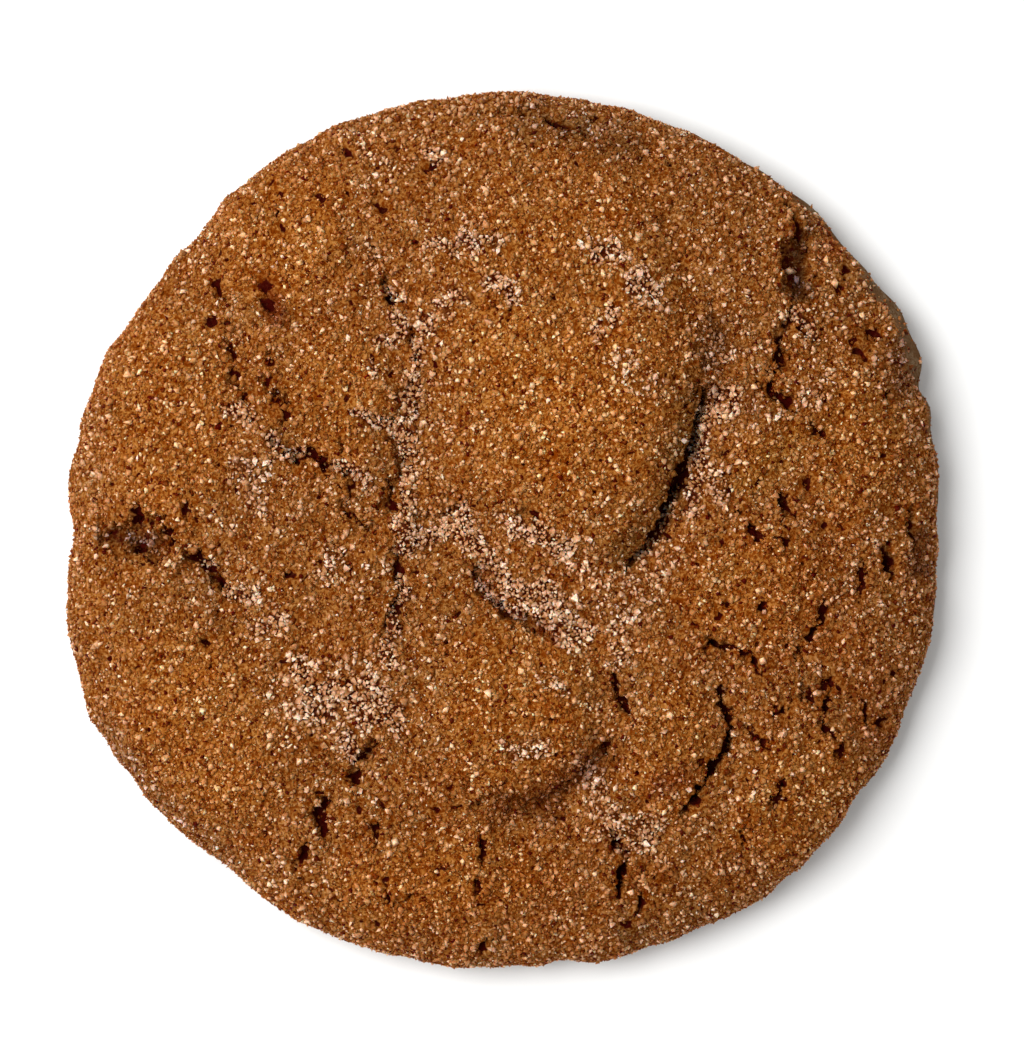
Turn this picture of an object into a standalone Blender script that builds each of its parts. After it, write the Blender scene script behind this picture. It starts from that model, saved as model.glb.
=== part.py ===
"""A pumpkin snickerdoodle: one thick, soft cookie whose cracked top is coated in cinnamon sugar.

The shape values below are in millimetres, seen from above: +X is the photo's right, +Y its top and
+Z up, about the middle of the cookie's flat base. The mesh itself is made in metres.
"""

import math
from collections import namedtuple

import bmesh
import bpy
import numpy as np
from mathutils import Euler, Matrix, Vector, noise
from mathutils.bvhtree import BVHTree
from mathutils.geometry import delaunay_2d_cdt
from mathutils.kdtree import KDTree

MM = 0.001
SEED = 31

# Overall size
RIM_RADIUS = 42.9
RIM_CENTRE = (0.6, -0.4)
DOME_HEIGHT = 11.6
WIDEST_HEIGHT = 3.2
FOOT_INSET = 2.2
FOOT_TURN = math.radians(65)
DOME_FLATNESS = 4.0
DOME_ROUNDING = 0.55

# Size of the facets, which are smaller along the cracks
FACET = 1.62
CRACK_STEP = 1.25
FACET_JITTER = 0.22
CLEAR_OF_CRACKS = 0.62
WELD = 0.05

# Unevenness of the crust
SWELL_SIZE, SWELL_RISE = 9.0, 0.32
CRUMB_SIZE, CRUMB_RISE = 2.6, 0.20
WANDER_SIZE, WANDER = 2.2, 0.55
RIM_WOBBLE_SIZE, RIM_WOBBLE = 3.5, 0.22
EDGE_FADE = 3.0
LIP_RISE = 0.12

# Largest sugar crystals, which are fused to the crust
CRYSTALS = 130
LARGEST_CRYSTAL, SMALLEST_CRYSTAL = 1.10, 0.75
CRYSTAL_ROOM = 2.4
CRYSTAL_SUNK = 0.10
SHARE_IN_DRIFTS = 0.5

CRUST_COLOUR = (0.254, 0.087, 0.0185, 1.0)
CRUST_ROUGHNESS = 0.85

Bulge = namedtuple("Bulge", "angle out spread")
Lobe = namedtuple("Lobe", "at half_size turn rise")
Crack = namedtuple("Crack", "width depth path sag lean", defaults=(0.0, (0.0, 0.0)))
Pit = namedtuple("Pit", "at radius depth")
Drift = namedtuple("Drift", "at radius rise")

# Where the rim stands out of a circle or falls inside it: degrees, mm, degrees
RIM_BULGES = (
    Bulge(-2, -0.9, 9),
    Bulge(19, -0.7, 2),
    Bulge(27, 1.2, 8),
    Bulge(48, 0.5, 12),
    Bulge(141, -1.2, 13),
    Bulge(180, -0.7, 4),
    Bulge(204, 1.4, 13),
    Bulge(231, -0.6, 3),
    Bulge(271, -0.6, 12),
    Bulge(307, 0.6, 11),
    Bulge(338, -0.4, 4),
)

# Plates of crust that rose between the cracks
LOBES = (
    Lobe((5.8, 18.0), (14.0, 22.5), 12, 1.5),
    Lobe((1.6, -17.2), (9.0, 11.0), 8, 1.0),
    Lobe((24.6, -5.4), (8.5, 7.0), 0, 0.6),
    Lobe((-32.0, 11.0), (7.5, 13.0), 0, 0.6),
    Lobe((-15.1, 13.5), (6.0, 8.0), 10, 0.6),
    Lobe((-29.0, -19.0), (8.5, 12.0), 25, 0.6),
    Lobe((16.2, -20.9), (5.0, 8.0), 0, 0.6),
    Lobe((29.3, -26.5), (8.0, 8.0), 0, 0.5),
    Lobe((-6.0, -34.0), (14.0, 5.5), 5, 0.5),
    Lobe((34.4, 8.6), (5.5, 9.0), 0, 0.5),
    Lobe((-21.0, 29.0), (9.0, 7.5), 40, 0.5),
)

# Cracks and folds, widest first: width and depth, and the way that each one runs
CRACKS = (
    Crack(1.9, 3.4, ((20.4, 17.0), (19.8, 12.4), (18.6, 8.6), (16.9, 4.5), (14.8, -0.3), (13.0, -2.7),
                     (10.6, -4.6)), 1.1, (-0.7, 0.3)),
    Crack(3.0, 1.6, ((29.1, 28.0), (29.0, 25.6), (29.0, 23.6), (28.6, 22.2))),
    Crack(3.4, 1.3, ((-37.6, -0.9), (-35.6, -1.2), (-33.6, -1.4), (-31.6, -2.8)), 0.3),
    Crack(2.2, 1.3, ((-30.4, -2.6), (-28.6, -3.8), (-27.0, -5.4)), 0.3),
    Crack(1.3, 2.0, ((21.2, -13.6), (21.6, -17.6), (22.4, -19.5), (21.9, -21.8), (20.9, -23.8), (19.0, -25.6),
                     (17.0, -27.9)), 0.4),
    Crack(1.2, 1.3, ((28.6, 22.6), (27.6, 18.2), (27.2, 16.0), (26.0, 13.6), (27.4, 12.3), (29.4, 10.5)), 0.4),
    Crack(1.8, 1.1, ((-11.2, 23.8), (-9.5, 21.4), (-9.2, 19.8), (-7.5, 17.0), (-8.4, 13.6), (-9.9, 11.2)), 0.5),
    Crack(2.0, 1.0, ((-9.9, 11.2), (-9.4, 8.8), (-8.4, 6.6), (-9.3, 4.4), (-11.6, 1.0)), 0.5),
    Crack(1.5, 0.9, ((-15.4, 2.8), (-14.4, 0.8), (-12.2, 0.4), (-9.4, -0.4), (-5.6, 0.6), (-2.8, 2.2)), 0.4),
    Crack(1.2, 1.0, ((-10.4, -2.0), (-9.7, -4.6), (-10.0, -7.2), (-11.4, -11.0)), 0.2),
    Crack(1.3, 1.2, ((-3.4, -1.8), (-2.0, -4.6), (0.2, -7.6), (3.4, -9.0), (5.8, -10.6)), 0.5, (0.2, 0.4)),
    Crack(1.6, 0.8, ((-3.4, -27.3), (0.0, -26.8), (3.1, -27.0), (6.0, -26.1), (8.0, -24.2), (10.9, -20.0)), 0.5),
    Crack(1.4, 0.8, ((-2.4, 40.6), (1.1, 40.4), (4.0, 40.0), (6.6, 39.0), (10.4, 37.5))),
    Crack(0.9, 0.9, ((27.6, 32.4), (28.6, 29.8), (29.4, 27.6))),
    Crack(1.0, 1.0, ((-26.8, 18.6), (-25.6, 16.4), (-26.0, 14.9), (-24.4, 12.0)), 0.3),
    Crack(0.9, 1.0, ((-23.2, 14.8), (-21.2, 12.2), (-20.8, 10.4), (-22.1, 8.7)), 0.3),
    Crack(1.2, 1.1, ((-22.1, 8.7), (-20.0, 6.8), (-18.4, 7.2), (-16.6, 6.0), (-13.2, 5.2)), 0.3),
    Crack(0.9, 1.2, ((11.1, -13.8), (11.5, -15.8), (12.6, -17.6), (12.9, -19.2)), 0.3),
    Crack(1.3, 1.5, ((-11.2, -19.4), (-13.3, -20.6), (-13.5, -22.2), (-14.3, -23.4), (-14.3, -25.8)), 0.3),
    Crack(1.3, 1.4, ((-17.3, -24.8), (-18.0, -26.8), (-17.0, -28.8), (-16.4, -29.8)), 0.2),
    Crack(0.9, 1.0, ((-17.6, -30.0), (-19.2, -31.8), (-20.3, -33.8))),
    Crack(0.7, 0.8, ((-2.1, -28.4), (-1.7, -31.4), (-2.1, -33.9), (-2.3, -36.2))),
    Crack(0.8, 1.0, ((11.2, -30.4), (12.4, -31.8), (11.6, -34.6), (11.3, -36.6)), 0.2),
    Crack(0.9, 0.9, ((-1.2, -39.4), (-1.4, -40.8))),
    Crack(0.9, 0.9, ((22.8, 1.6), (24.2, 0.2), (25.9, -1.5)), 0.2),
    Crack(0.7, 0.8, ((31.2, -6.4), (31.3, -8.6), (30.4, -10.2), (29.3, -11.5)), 0.2),
    Crack(0.8, 0.8, ((19.6, -10.2), (21.3, -11.4), (24.3, -12.0), (24.8, -13.8)), 0.2),
    Crack(1.2, 1.2, ((37.6, -1.3), (37.2, -2.8), (38.0, -4.0), (37.8, -5.4))),
    Crack(0.8, 0.8, ((40.2, 2.8), (40.1, 0.8), (39.9, -2.4))),
    Crack(0.7, 0.8, ((27.7, -24.3), (26.9, -26.3), (26.0, -28.0))),
)

# Small holes in the crust
PITS = (
    Pit((-11.7, 31.0), 0.8, 1.2),
    Pit((32.0, -14.9), 0.9, 1.2),
    Pit((29.8, 4.3), 0.9, 0.9),
    Pit((-6.6, 35.2), 0.9, 0.5),
    Pit((-22.6, 23.3), 1.3, 0.4),
    Pit((-27.5, 23.8), 0.8, 0.7),
    Pit((-28.0, 20.0), 0.8, 0.7),
    Pit((36.5, 19.0), 0.8, 0.7),
    Pit((34.8, 17.2), 0.8, 0.7),
    Pit((25.5, -7.5), 0.7, 0.7),
    Pit((27.2, -2.4), 0.8, 0.7),
    Pit((11.2, -30.8), 0.9, 0.8),
    Pit((-28.2, -11.0), 0.7, 0.7),
    Pit((13.6, -36.4), 0.8, 0.8),
)

# Loose sugar that gathered in the hollows
DRIFTS = (
    Drift((-15.1, -15.8), 5.6, 0.25),
    Drift((-9.3, 8.6), 2.4, 0.45),
    Drift((-9.6, -0.9), 3.0, 0.45),
    Drift((3.6, -0.9), 2.8, 0.30),
    Drift((2.9, -7.3), 2.8, 0.40),
    Drift((9.4, -8.2), 3.4, 0.25),
    Drift((-24.4, 4.9), 2.2, 0.25),
    Drift((-24.6, -7.2), 2.6, 0.25),
    Drift((-17.4, -3.7), 2.0, 0.25),
    Drift((19.4, 4.8), 2.2, 0.45),
    Drift((-4.0, 27.2), 3.4, 0.20),
    Drift((12.6, 23.2), 3.6, 0.20),
    Drift((13.0, -30.1), 3.0, 0.25),
    Drift((-10.4, 36.3), 3.0, 0.20),
    Drift((27.6, 19.2), 1.6, 0.30),
)


def smoothstep(value):
    value = np.clip(value, 0.0, 1.0)
    return value * value * (3 - 2 * value)


def field(points, size, seed):
    """Smooth noise of about -1 to 1 at each plan point, whose bumps are about size across."""
    return np.array([noise.noise((x / size, y / size, seed)) for x, y in points]) * 1.6


# Outline and section of the cookie

def rim_radius(angle):
    """Distance from the rim's centre to the rim, at each angle in radians."""
    radius = np.full_like(angle, RIM_RADIUS)
    for bulge in RIM_BULGES:
        away = np.degrees(np.angle(np.exp(1j * (angle - math.radians(bulge.angle)))))
        radius += bulge.out * np.exp(-((away / bulge.spread) ** 2))
    ring = RIM_RADIUS * np.column_stack((np.cos(angle), np.sin(angle)))
    return radius + RIM_WOBBLE * field(ring, RIM_WOBBLE_SIZE, SEED)


def section():
    """Reach as a share of the rim, height, and length run, from the top's middle over the side to the foot."""
    reach = np.sin(np.linspace(0.0, math.pi / 2, 240))
    rise = DOME_HEIGHT - WIDEST_HEIGHT
    height = WIDEST_HEIGHT + rise * (1 - reach**DOME_FLATNESS) ** DOME_ROUNDING
    turn = np.linspace(0.0, FOOT_TURN, 40)[1:]
    drawn_in = FOOT_INSET / RIM_RADIUS * (1 - np.cos(turn)) / (1 - math.cos(FOOT_TURN))
    reach = np.concatenate((reach, 1 - drawn_in))
    height = np.concatenate((height, WIDEST_HEIGHT * (1 - np.sin(turn) / math.sin(FOOT_TURN))))
    steps = np.hypot(RIM_RADIUS * np.diff(reach), np.diff(height))
    return reach, height, np.concatenate(([0.0], np.cumsum(steps)))


REACH, HEIGHT, RUN = section()
TOP_ENDS = REACH.argmax() + 1
FLAT_RADIUS = RUN[-1]


def unrolled(plan):
    """Plan points on the top, laid out flat by their distance along the section."""
    offset = plan - RIM_CENTRE
    angle = np.arctan2(offset[:, 1], offset[:, 0])
    share = np.hypot(*offset.T) / rim_radius(angle)
    run = np.interp(share, REACH[:TOP_ENDS], RUN[:TOP_ENDS])
    return run[:, None] * np.column_stack((np.cos(angle), np.sin(angle)))


def rolled(flat):
    """The plain dome's points and outward normals for points that were laid out flat."""
    angle = np.arctan2(flat[:, 1], flat[:, 0])
    run = np.hypot(*flat.T)
    around = np.column_stack((np.cos(angle), np.sin(angle)))
    radius = np.interp(run, RUN, REACH) * rim_radius(angle)
    height = np.interp(run, RUN, HEIGHT)
    outward = np.interp(run, RUN, np.gradient(REACH * RIM_RADIUS, RUN))
    upward = np.interp(run, RUN, np.gradient(HEIGHT, RUN))
    points = np.column_stack((radius[:, None] * around + RIM_CENTRE, height))
    normals = np.column_stack((-upward[:, None] * around, outward))
    return points, normals / np.linalg.norm(normals, axis=1)[:, None]


# Cracks, pits, lobes and drifts

def crack_path(crack):
    """A smooth line through a crack's points that wanders a little, as torn dough does."""
    corners = np.array(crack.path)
    ends = 2 * corners[0] - corners[1], 2 * corners[-1] - corners[-2]
    corners = np.vstack((ends[0], corners, ends[1]))
    places = []
    for before, start, end, after in zip(corners, corners[1:], corners[2:], corners[3:]):
        count = max(1, round(math.dist(start, end) / CRACK_STEP))
        for t in np.arange(count) / count:
            bend = 2 * before - 5 * start + 4 * end - after
            swing = 3 * start - before - 3 * end + after
            places.append(start + 0.5 * t * (end - before + t * (bend + t * swing)))
    places = np.array(places + [corners[-2]])
    wander = np.column_stack([field(places, WANDER_SIZE, SEED + shift) for shift in (3, 7)])
    return places + WANDER * crack.width**0.5 * 0.5 * wander


def nearest_on_path(points, path):
    """Distance from each point to a path, and the share of the path's length at the nearest place."""
    steps = np.diff(path, axis=0)
    lengths = np.hypot(*steps.T)
    offsets = points[:, None] - path[None, :-1]
    share = np.clip((offsets * steps).sum(axis=2) / lengths**2, 0.0, 1.0)
    gaps = np.linalg.norm(offsets - share[..., None] * steps, axis=2)
    rows, nearest = np.arange(len(points)), gaps.argmin(axis=1)
    run = np.concatenate(([0.0], np.cumsum(lengths)))
    along = (run[nearest] + share[rows, nearest] * lengths[nearest]) / run[-1]
    return gaps[rows, nearest], along


def taper(along):
    """How open a crack is along its length, closing at both ends."""
    return np.clip(np.sin(math.pi * np.clip(along, 0.0, 1.0)), 0.0, 1.0) ** 0.45


def lobe_rise(plan, lobe):
    turn = math.radians(lobe.turn)
    offset = plan - lobe.at
    across = (offset[:, 0] * math.cos(turn) + offset[:, 1] * math.sin(turn)) / lobe.half_size[0]
    along = (offset[:, 1] * math.cos(turn) - offset[:, 0] * math.sin(turn)) / lobe.half_size[1]
    away = np.hypot(across, along) + 0.08 * field(plan, 6.0, SEED + 11)
    return lobe.rise * (1 - np.clip(away, 0.0, 1.0) ** 4) ** 1.5


def crust_relief(plan, paths):
    """How far the crust stands off the plain dome, and how far each point slides sideways under a lip."""
    rise = SWELL_RISE * field(plan, SWELL_SIZE, SEED + 1) + CRUMB_RISE * field(plan, CRUMB_SIZE, SEED + 2)
    rise += sum(lobe_rise(plan, lobe) for lobe in LOBES)
    slide = np.zeros((len(plan), 2))
    for drift in DRIFTS:
        away = np.linalg.norm(plan - drift.at, axis=1) / drift.radius
        rise += drift.rise * (1 - smoothstep(away))
    for crack, path in zip(CRACKS, paths):
        gap, along = nearest_on_path(plan, path)
        half = np.maximum(crack.width / 2 * taper(along), 1e-6)
        opening = 1 - np.clip(gap / half, 0.0, 1.0) ** 1.5
        rise -= crack.sag * taper(along) * np.exp(-((gap / 2.8) ** 2))
        rise += LIP_RISE * (opening == 0) * np.exp(-(((gap - half) / 0.9) ** 2))
        rise -= crack.depth * taper(along) * opening
        slide += (opening * taper(along))[:, None] * crack.lean
    for pit in PITS:
        away = np.linalg.norm(plan - pit.at, axis=1) / pit.radius
        rise -= pit.depth * (1 - smoothstep(away))
    return rise, slide


def crust_points(flat, paths):
    """The finished surface for points that were laid out flat, with the foot left on the ground."""
    points, normals = rolled(flat)
    rise, slide = crust_relief(points[:, :2], paths)
    side = CRUMB_RISE * field(flat, 1.6 * CRUMB_SIZE, SEED + 5)
    above = points[:, 2] - WIDEST_HEIGHT
    on_top = smoothstep(above / EDGE_FADE) * (np.hypot(*flat.T) < RUN[TOP_ENDS - 1])
    off_foot = smoothstep(points[:, 2] / WIDEST_HEIGHT)
    points += normals * (on_top * rise + (1 - on_top) * off_foot * side)[:, None]
    points[:, :2] += on_top[:, None] * slide
    return points


# Facets

def crack_lines(crack, path):
    """The middle and both banks of a crack in plan, as lines that the facets follow."""
    heading = np.gradient(path, axis=0)
    across = np.column_stack((-heading[:, 1], heading[:, 0])) / np.hypot(*heading.T)[:, None]
    half = crack.width / 2 * taper(np.linspace(0.0, 1.0, len(path)))
    banks = [path + side * half[:, None] * across for side in (-1, 1)]
    return [path] + [bank[1:-1] for bank in banks if len(bank) > 3]


def pit_points(pit):
    angles = np.arange(6) * math.pi / 3
    ring = np.array(pit.at) + pit.radius * np.column_stack((np.cos(angles), np.sin(angles)))
    return np.vstack((ring, pit.at))


def spread_points(taken, draws):
    """Evenly spread points over the laid-out surface, clear of the taken ones and of its edge."""
    tree = KDTree(len(taken))
    for index, (x, y) in enumerate(taken):
        tree.insert((x, y, 0.0), index)
    tree.balance()
    row_height = FACET * math.sqrt(3) / 2
    rows = math.ceil(FLAT_RADIUS / row_height)
    found = []
    for row in range(-rows, rows + 1):
        shift = FACET / 2 * (row % 2)
        for column in np.arange(-FLAT_RADIUS, FLAT_RADIUS, FACET):
            place = np.array((column + shift, row * row_height)) + draws.uniform(-1, 1, 2) * FACET_JITTER
            clear = tree.find((*place, 0.0))[2] > CLEAR_OF_CRACKS * FACET
            if clear and math.hypot(*place) < FLAT_RADIUS - CLEAR_OF_CRACKS * FACET:
                found.append(place)
    return np.array(found)


def top_facets(paths, draws):
    """Vertices and triangles from the middle of the top down to the foot, whose points come first."""
    count = round(2 * math.pi * RIM_RADIUS / FACET)
    angles = np.arange(count) * 2 * math.pi / count
    foot = FLAT_RADIUS * np.column_stack((np.cos(angles), np.sin(angles)))
    points = [foot]
    edges = [(i, (i + 1) % count) for i in range(count)]
    for crack, path in zip(CRACKS, paths):
        for line in crack_lines(crack, path):
            first = sum(map(len, points))
            edges += [(first + i, first + i + 1) for i in range(len(line) - 1)]
            points.append(unrolled(line))
    points += [unrolled(pit_points(pit)) for pit in PITS]
    points.append(spread_points(np.vstack(points), draws))
    flat = [Vector(point) for point in np.vstack(points)]
    places, _, faces, origins, _, _ = delaunay_2d_cdt(flat, edges, [], 1, WELD)
    flat = np.array([tuple(place) for place in places])
    foot_index = [next(i for i, came in enumerate(origins) if number in came) for number in range(count)]
    return crust_points(flat, paths), faces, foot_index


def build_body(draws):
    """The closed cookie without its crystals, in metres."""
    paths = [crack_path(crack) for crack in CRACKS]
    points, faces, foot_index = top_facets(paths, draws)
    points[foot_index, 2] = 0.0
    mesh = bpy.data.meshes.new("cookie")
    mesh.from_pydata((points * MM).tolist(), [], faces + [foot_index[::-1]])
    cookie = bpy.data.objects.new("cookie", mesh)
    bpy.context.collection.objects.link(cookie)
    return cookie


# Sugar crystals

def crystal_places(draws):
    """Plan points with room between them, half of them in the drifts and the rest all over the top."""
    places = []
    weights = np.array([drift.radius**2 for drift in DRIFTS])
    while len(places) < CRYSTALS:
        angle, share = draws.uniform(0, 2 * math.pi), math.sqrt(draws.uniform())
        centre, reach = RIM_CENTRE, 0.9 * RIM_RADIUS
        if len(places) < SHARE_IN_DRIFTS * CRYSTALS:
            drift = DRIFTS[draws.choice(len(DRIFTS), p=weights / weights.sum())]
            centre, reach = drift.at, drift.radius
        place = np.add(centre, reach * share * np.array((math.cos(angle), math.sin(angle))))
        if all(math.dist(place, other) > CRYSTAL_ROOM * LARGEST_CRYSTAL for other in places):
            places.append(place)
    return places


def crystal(name, size, place, turn, collection):
    """One grain of coarse sugar: a small block with worn, uneven corners."""
    block = bmesh.new()
    bmesh.ops.create_cube(block, size=size * MM)
    for corner in block.verts:
        corner.co *= 1 + 0.25 * noise.noise(corner.co / MM * 3 + Vector(turn))
    proportions = Matrix.Diagonal((1.0, 0.85, 0.8, 1.0))
    where = Matrix.Translation(place) @ Euler(turn).to_matrix().to_4x4() @ proportions
    bmesh.ops.transform(block, matrix=where, verts=block.verts)
    mesh = bpy.data.meshes.new(name)
    block.to_mesh(mesh)
    block.free()
    collection.objects.link(bpy.data.objects.new(name, mesh))


def fuse_crystals(cookie, draws):
    """Sets the largest crystals into the crust and joins them to it as one solid."""
    collection = bpy.data.collections.new("crystals")
    bpy.context.scene.collection.children.link(collection)
    crust = BVHTree.FromObject(cookie, bpy.context.evaluated_depsgraph_get())
    sizes = np.linspace(LARGEST_CRYSTAL, SMALLEST_CRYSTAL, CRYSTALS)
    draws.shuffle(sizes)
    for number, (x, y) in enumerate(crystal_places(draws)):
        hit, normal, _, _ = crust.ray_cast(Vector((x * MM, y * MM, 2 * DOME_HEIGHT * MM)), Vector((0, 0, -1)))
        place = hit - normal * (CRYSTAL_SUNK * sizes[number] * MM)
        crystal(f"crystal_{number}", sizes[number], place, draws.uniform(0, 2 * math.pi, 3), collection)
    union = cookie.modifiers.new("crystals", "BOOLEAN")
    union.operation = "UNION"
    union.solver = "EXACT"
    union.operand_type = "COLLECTION"
    union.collection = collection
    graph = bpy.context.evaluated_depsgraph_get()
    fused = bpy.data.meshes.new_from_object(cookie.evaluated_get(graph))
    cookie.modifiers.clear()
    cookie.data = fused
    for grain in list(collection.objects):
        bpy.data.objects.remove(grain)
    bpy.data.collections.remove(collection)


def centre_on_origin(cookie):
    """Puts the middle of the cookie's box over the origin."""
    corners = np.array([tuple(corner) for corner in cookie.bound_box])
    middle = (corners.min(axis=0) + corners.max(axis=0)) / 2
    cookie.data.transform(Matrix.Translation((-middle[0], -middle[1], 0.0)))


def crust_material():
    material = bpy.data.materials.new("baked_dough")
    material.use_nodes = True
    shader = material.node_tree.nodes["Principled BSDF"]
    shader.inputs["Base Color"].default_value = CRUST_COLOUR
    shader.inputs["Roughness"].default_value = CRUST_ROUGHNESS
    shader.inputs["Metallic"].default_value = 0.0
    return material


def main():
    for obj in list(bpy.data.objects):
        bpy.data.objects.remove(obj)
    draws = np.random.default_rng(SEED)
    cookie = build_body(draws)
    fuse_crystals(cookie, draws)
    centre_on_origin(cookie)
    cookie.data.materials.clear()
    cookie.data.materials.append(crust_material())


main()
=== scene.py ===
"""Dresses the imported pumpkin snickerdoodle: a cracked, browned crust under a coat of cinnamon sugar.

The shape values are in millimetres, seen from above: +X is the photo's right, +Y its top and +Z up.
The meshes are made in metres.
"""

import math
from collections import namedtuple

import bpy
import numpy as np
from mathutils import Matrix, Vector, noise
from mathutils.geometry import delaunay_2d_cdt
from mathutils.kdtree import KDTree


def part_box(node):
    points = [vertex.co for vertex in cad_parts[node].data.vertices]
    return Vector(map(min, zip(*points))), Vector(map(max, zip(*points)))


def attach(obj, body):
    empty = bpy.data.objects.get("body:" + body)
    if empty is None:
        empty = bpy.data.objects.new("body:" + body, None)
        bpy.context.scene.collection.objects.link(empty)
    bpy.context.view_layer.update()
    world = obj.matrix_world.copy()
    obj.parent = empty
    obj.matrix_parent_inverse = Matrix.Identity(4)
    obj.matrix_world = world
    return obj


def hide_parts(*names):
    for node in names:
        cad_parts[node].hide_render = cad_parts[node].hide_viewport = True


MM = 0.001
SEED = 31
NOISE_GAIN = 1.6

# Waves of noise: about how wide and how strong they are, and which seed they use
Wave = namedtuple("Wave", "size rise seed")

# Overall size, as in the solid
RIM_RADIUS = 42.9
RIM_CENTRE = (0.6, -0.4)
DOME_HEIGHT = 11.6
WIDEST_HEIGHT = 3.2
FOOT_INSET = 2.2
FOOT_TURN = math.radians(65)
DOME_FLATNESS = 4.0
DOME_ROUNDING = 0.55
TOP_STEPS, SIDE_STEPS = 240, 40

# Unevenness of the crust, as in the solid
SWELLS = Wave(9.0, 0.32, 1)
CRUMBS = Wave(2.6, 0.20, 2)
RIM_WOBBLE = Wave(3.5, 0.22, 0)
LOBE_WAVES = Wave(6.0, 0.08, 11)
WANDER_SIZE, WANDER = 2.2, 0.55
LOBE_FLATNESS, LOBE_ROUNDING = 4, 1.5
EDGE_FADE = 3.0
LIP_WIDTH, LIP_RISE = 0.9, 0.12
TROUGH_WIDTH = 2.8
CRACK_STEP = 1.25
CRACK_TAPER = 0.45

# Steeper walls and deeper troughs than the solid's, and finer unevenness, which it leaves out
CRACK_WALL = 2.4
TROUGH_DEEPER = 1.6
CRACK_MARGIN, TROUGH_MARGIN = 3.0, 7.0
GRIT = Wave(1.1, 0.09, 21)
SPECKS = Wave(0.5, 0.045, 22)
RAGGED_SIZE, RAGGED, RAGGED_WIDEST = 1.7, 1.3, 1.5
JOG_SIZE, JOG = 0.8, 0.34
CRACK_FLOOR = Wave(0.7, 0.22, 24)
# Patches where the painted shade in a torn crack is paler
PATCH_SIZE, PATCH_PALER = 1.5, 0.5
GRAIN_CLEARANCE = 0.25
SIDE_CRUMBS = Wave(1.6 * CRUMBS.size, CRUMBS.rise, 5)
SIDE_WRINKLES, WRINKLE_STRETCH = Wave(1.3, 0.10, 25), 3
BASE_HOLLOWS = Wave(3.0, 0.10, 26)
# How dark the painted shade in a pit is for each mm of its depth
PIT_SHADE = 1.7
PIT_CLEAR_SHARE, PIT_CLEAR = 0.6, 0.6
HAIRLINE = 0.3
PINHOLES = 700
PINHOLES_WITHIN = 0.93
PINHOLE_RADIUS = (0.20, 0.40)
PINHOLE_DEPTH = (0.3, 0.7)

# Spacing of the crust's points, and how far they keep from the next kind as a share of it
TOP_SPACING = 0.36
SIDE_SPACING = 0.44
CRACK_SPACING = 0.19
BASE_SPACING = 1.3
SPACING_JITTER = 0.2
KEPT_OFF = 0.6
BASE_KEPT_OFF = 0.7
FINE_WIDTH = 0.65
SHOULDER = 0.86
WELD = 0.03

# Around a crack the crust sinks by its sag, and its floor slides by its lean. Torn is how ragged its edges
# are, and dark how dark the painted shade inside it is
Bulge = namedtuple("Bulge", "angle out spread")
Lobe = namedtuple("Lobe", "at half_size turn rise")
Crack = namedtuple("Crack", "width depth path sag lean torn dark", defaults=(0.0, (0.0, 0.0), 1.0, 0.95))
Pit = namedtuple("Pit", "at radius depth")
Drift = namedtuple("Drift", "radius rise amount path")
Zone = namedtuple("Zone", "radius tint path")
Bare = namedtuple("Bare", "angle spread height")

# Where the rim stands out of a circle or falls inside it: degrees, mm, degrees
RIM_BULGES = (
    Bulge(-2, -0.9, 9),
    Bulge(19, -0.7, 2),
    Bulge(27, 1.2, 8),
    Bulge(48, 0.5, 12),
    Bulge(141, -1.2, 13),
    Bulge(180, -0.7, 4),
    Bulge(204, 1.4, 13),
    Bulge(231, -0.6, 3),
    Bulge(271, -0.6, 12),
    Bulge(307, 0.6, 11),
    Bulge(338, -0.4, 4),
)

# Plates of crust that rose between the cracks
LOBES = (
    Lobe((5.8, 18.0), (14.0, 22.5), 12, 1.5),
    Lobe((1.6, -17.2), (9.0, 11.0), 8, 1.0),
    Lobe((24.6, -5.4), (8.5, 7.0), 0, 0.6),
    Lobe((-32.0, 11.0), (7.5, 13.0), 0, 0.6),
    Lobe((-15.1, 13.5), (6.0, 8.0), 10, 0.6),
    Lobe((-29.0, -19.0), (8.5, 12.0), 25, 0.6),
    Lobe((16.2, -20.9), (5.0, 8.0), 0, 0.6),
    Lobe((29.3, -26.5), (8.0, 8.0), 0, 0.5),
    Lobe((-6.0, -34.0), (14.0, 5.5), 5, 0.5),
    Lobe((34.4, 8.6), (5.5, 9.0), 0, 0.5),
    Lobe((-21.0, 29.0), (9.0, 7.5), 40, 0.5),
)

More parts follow.
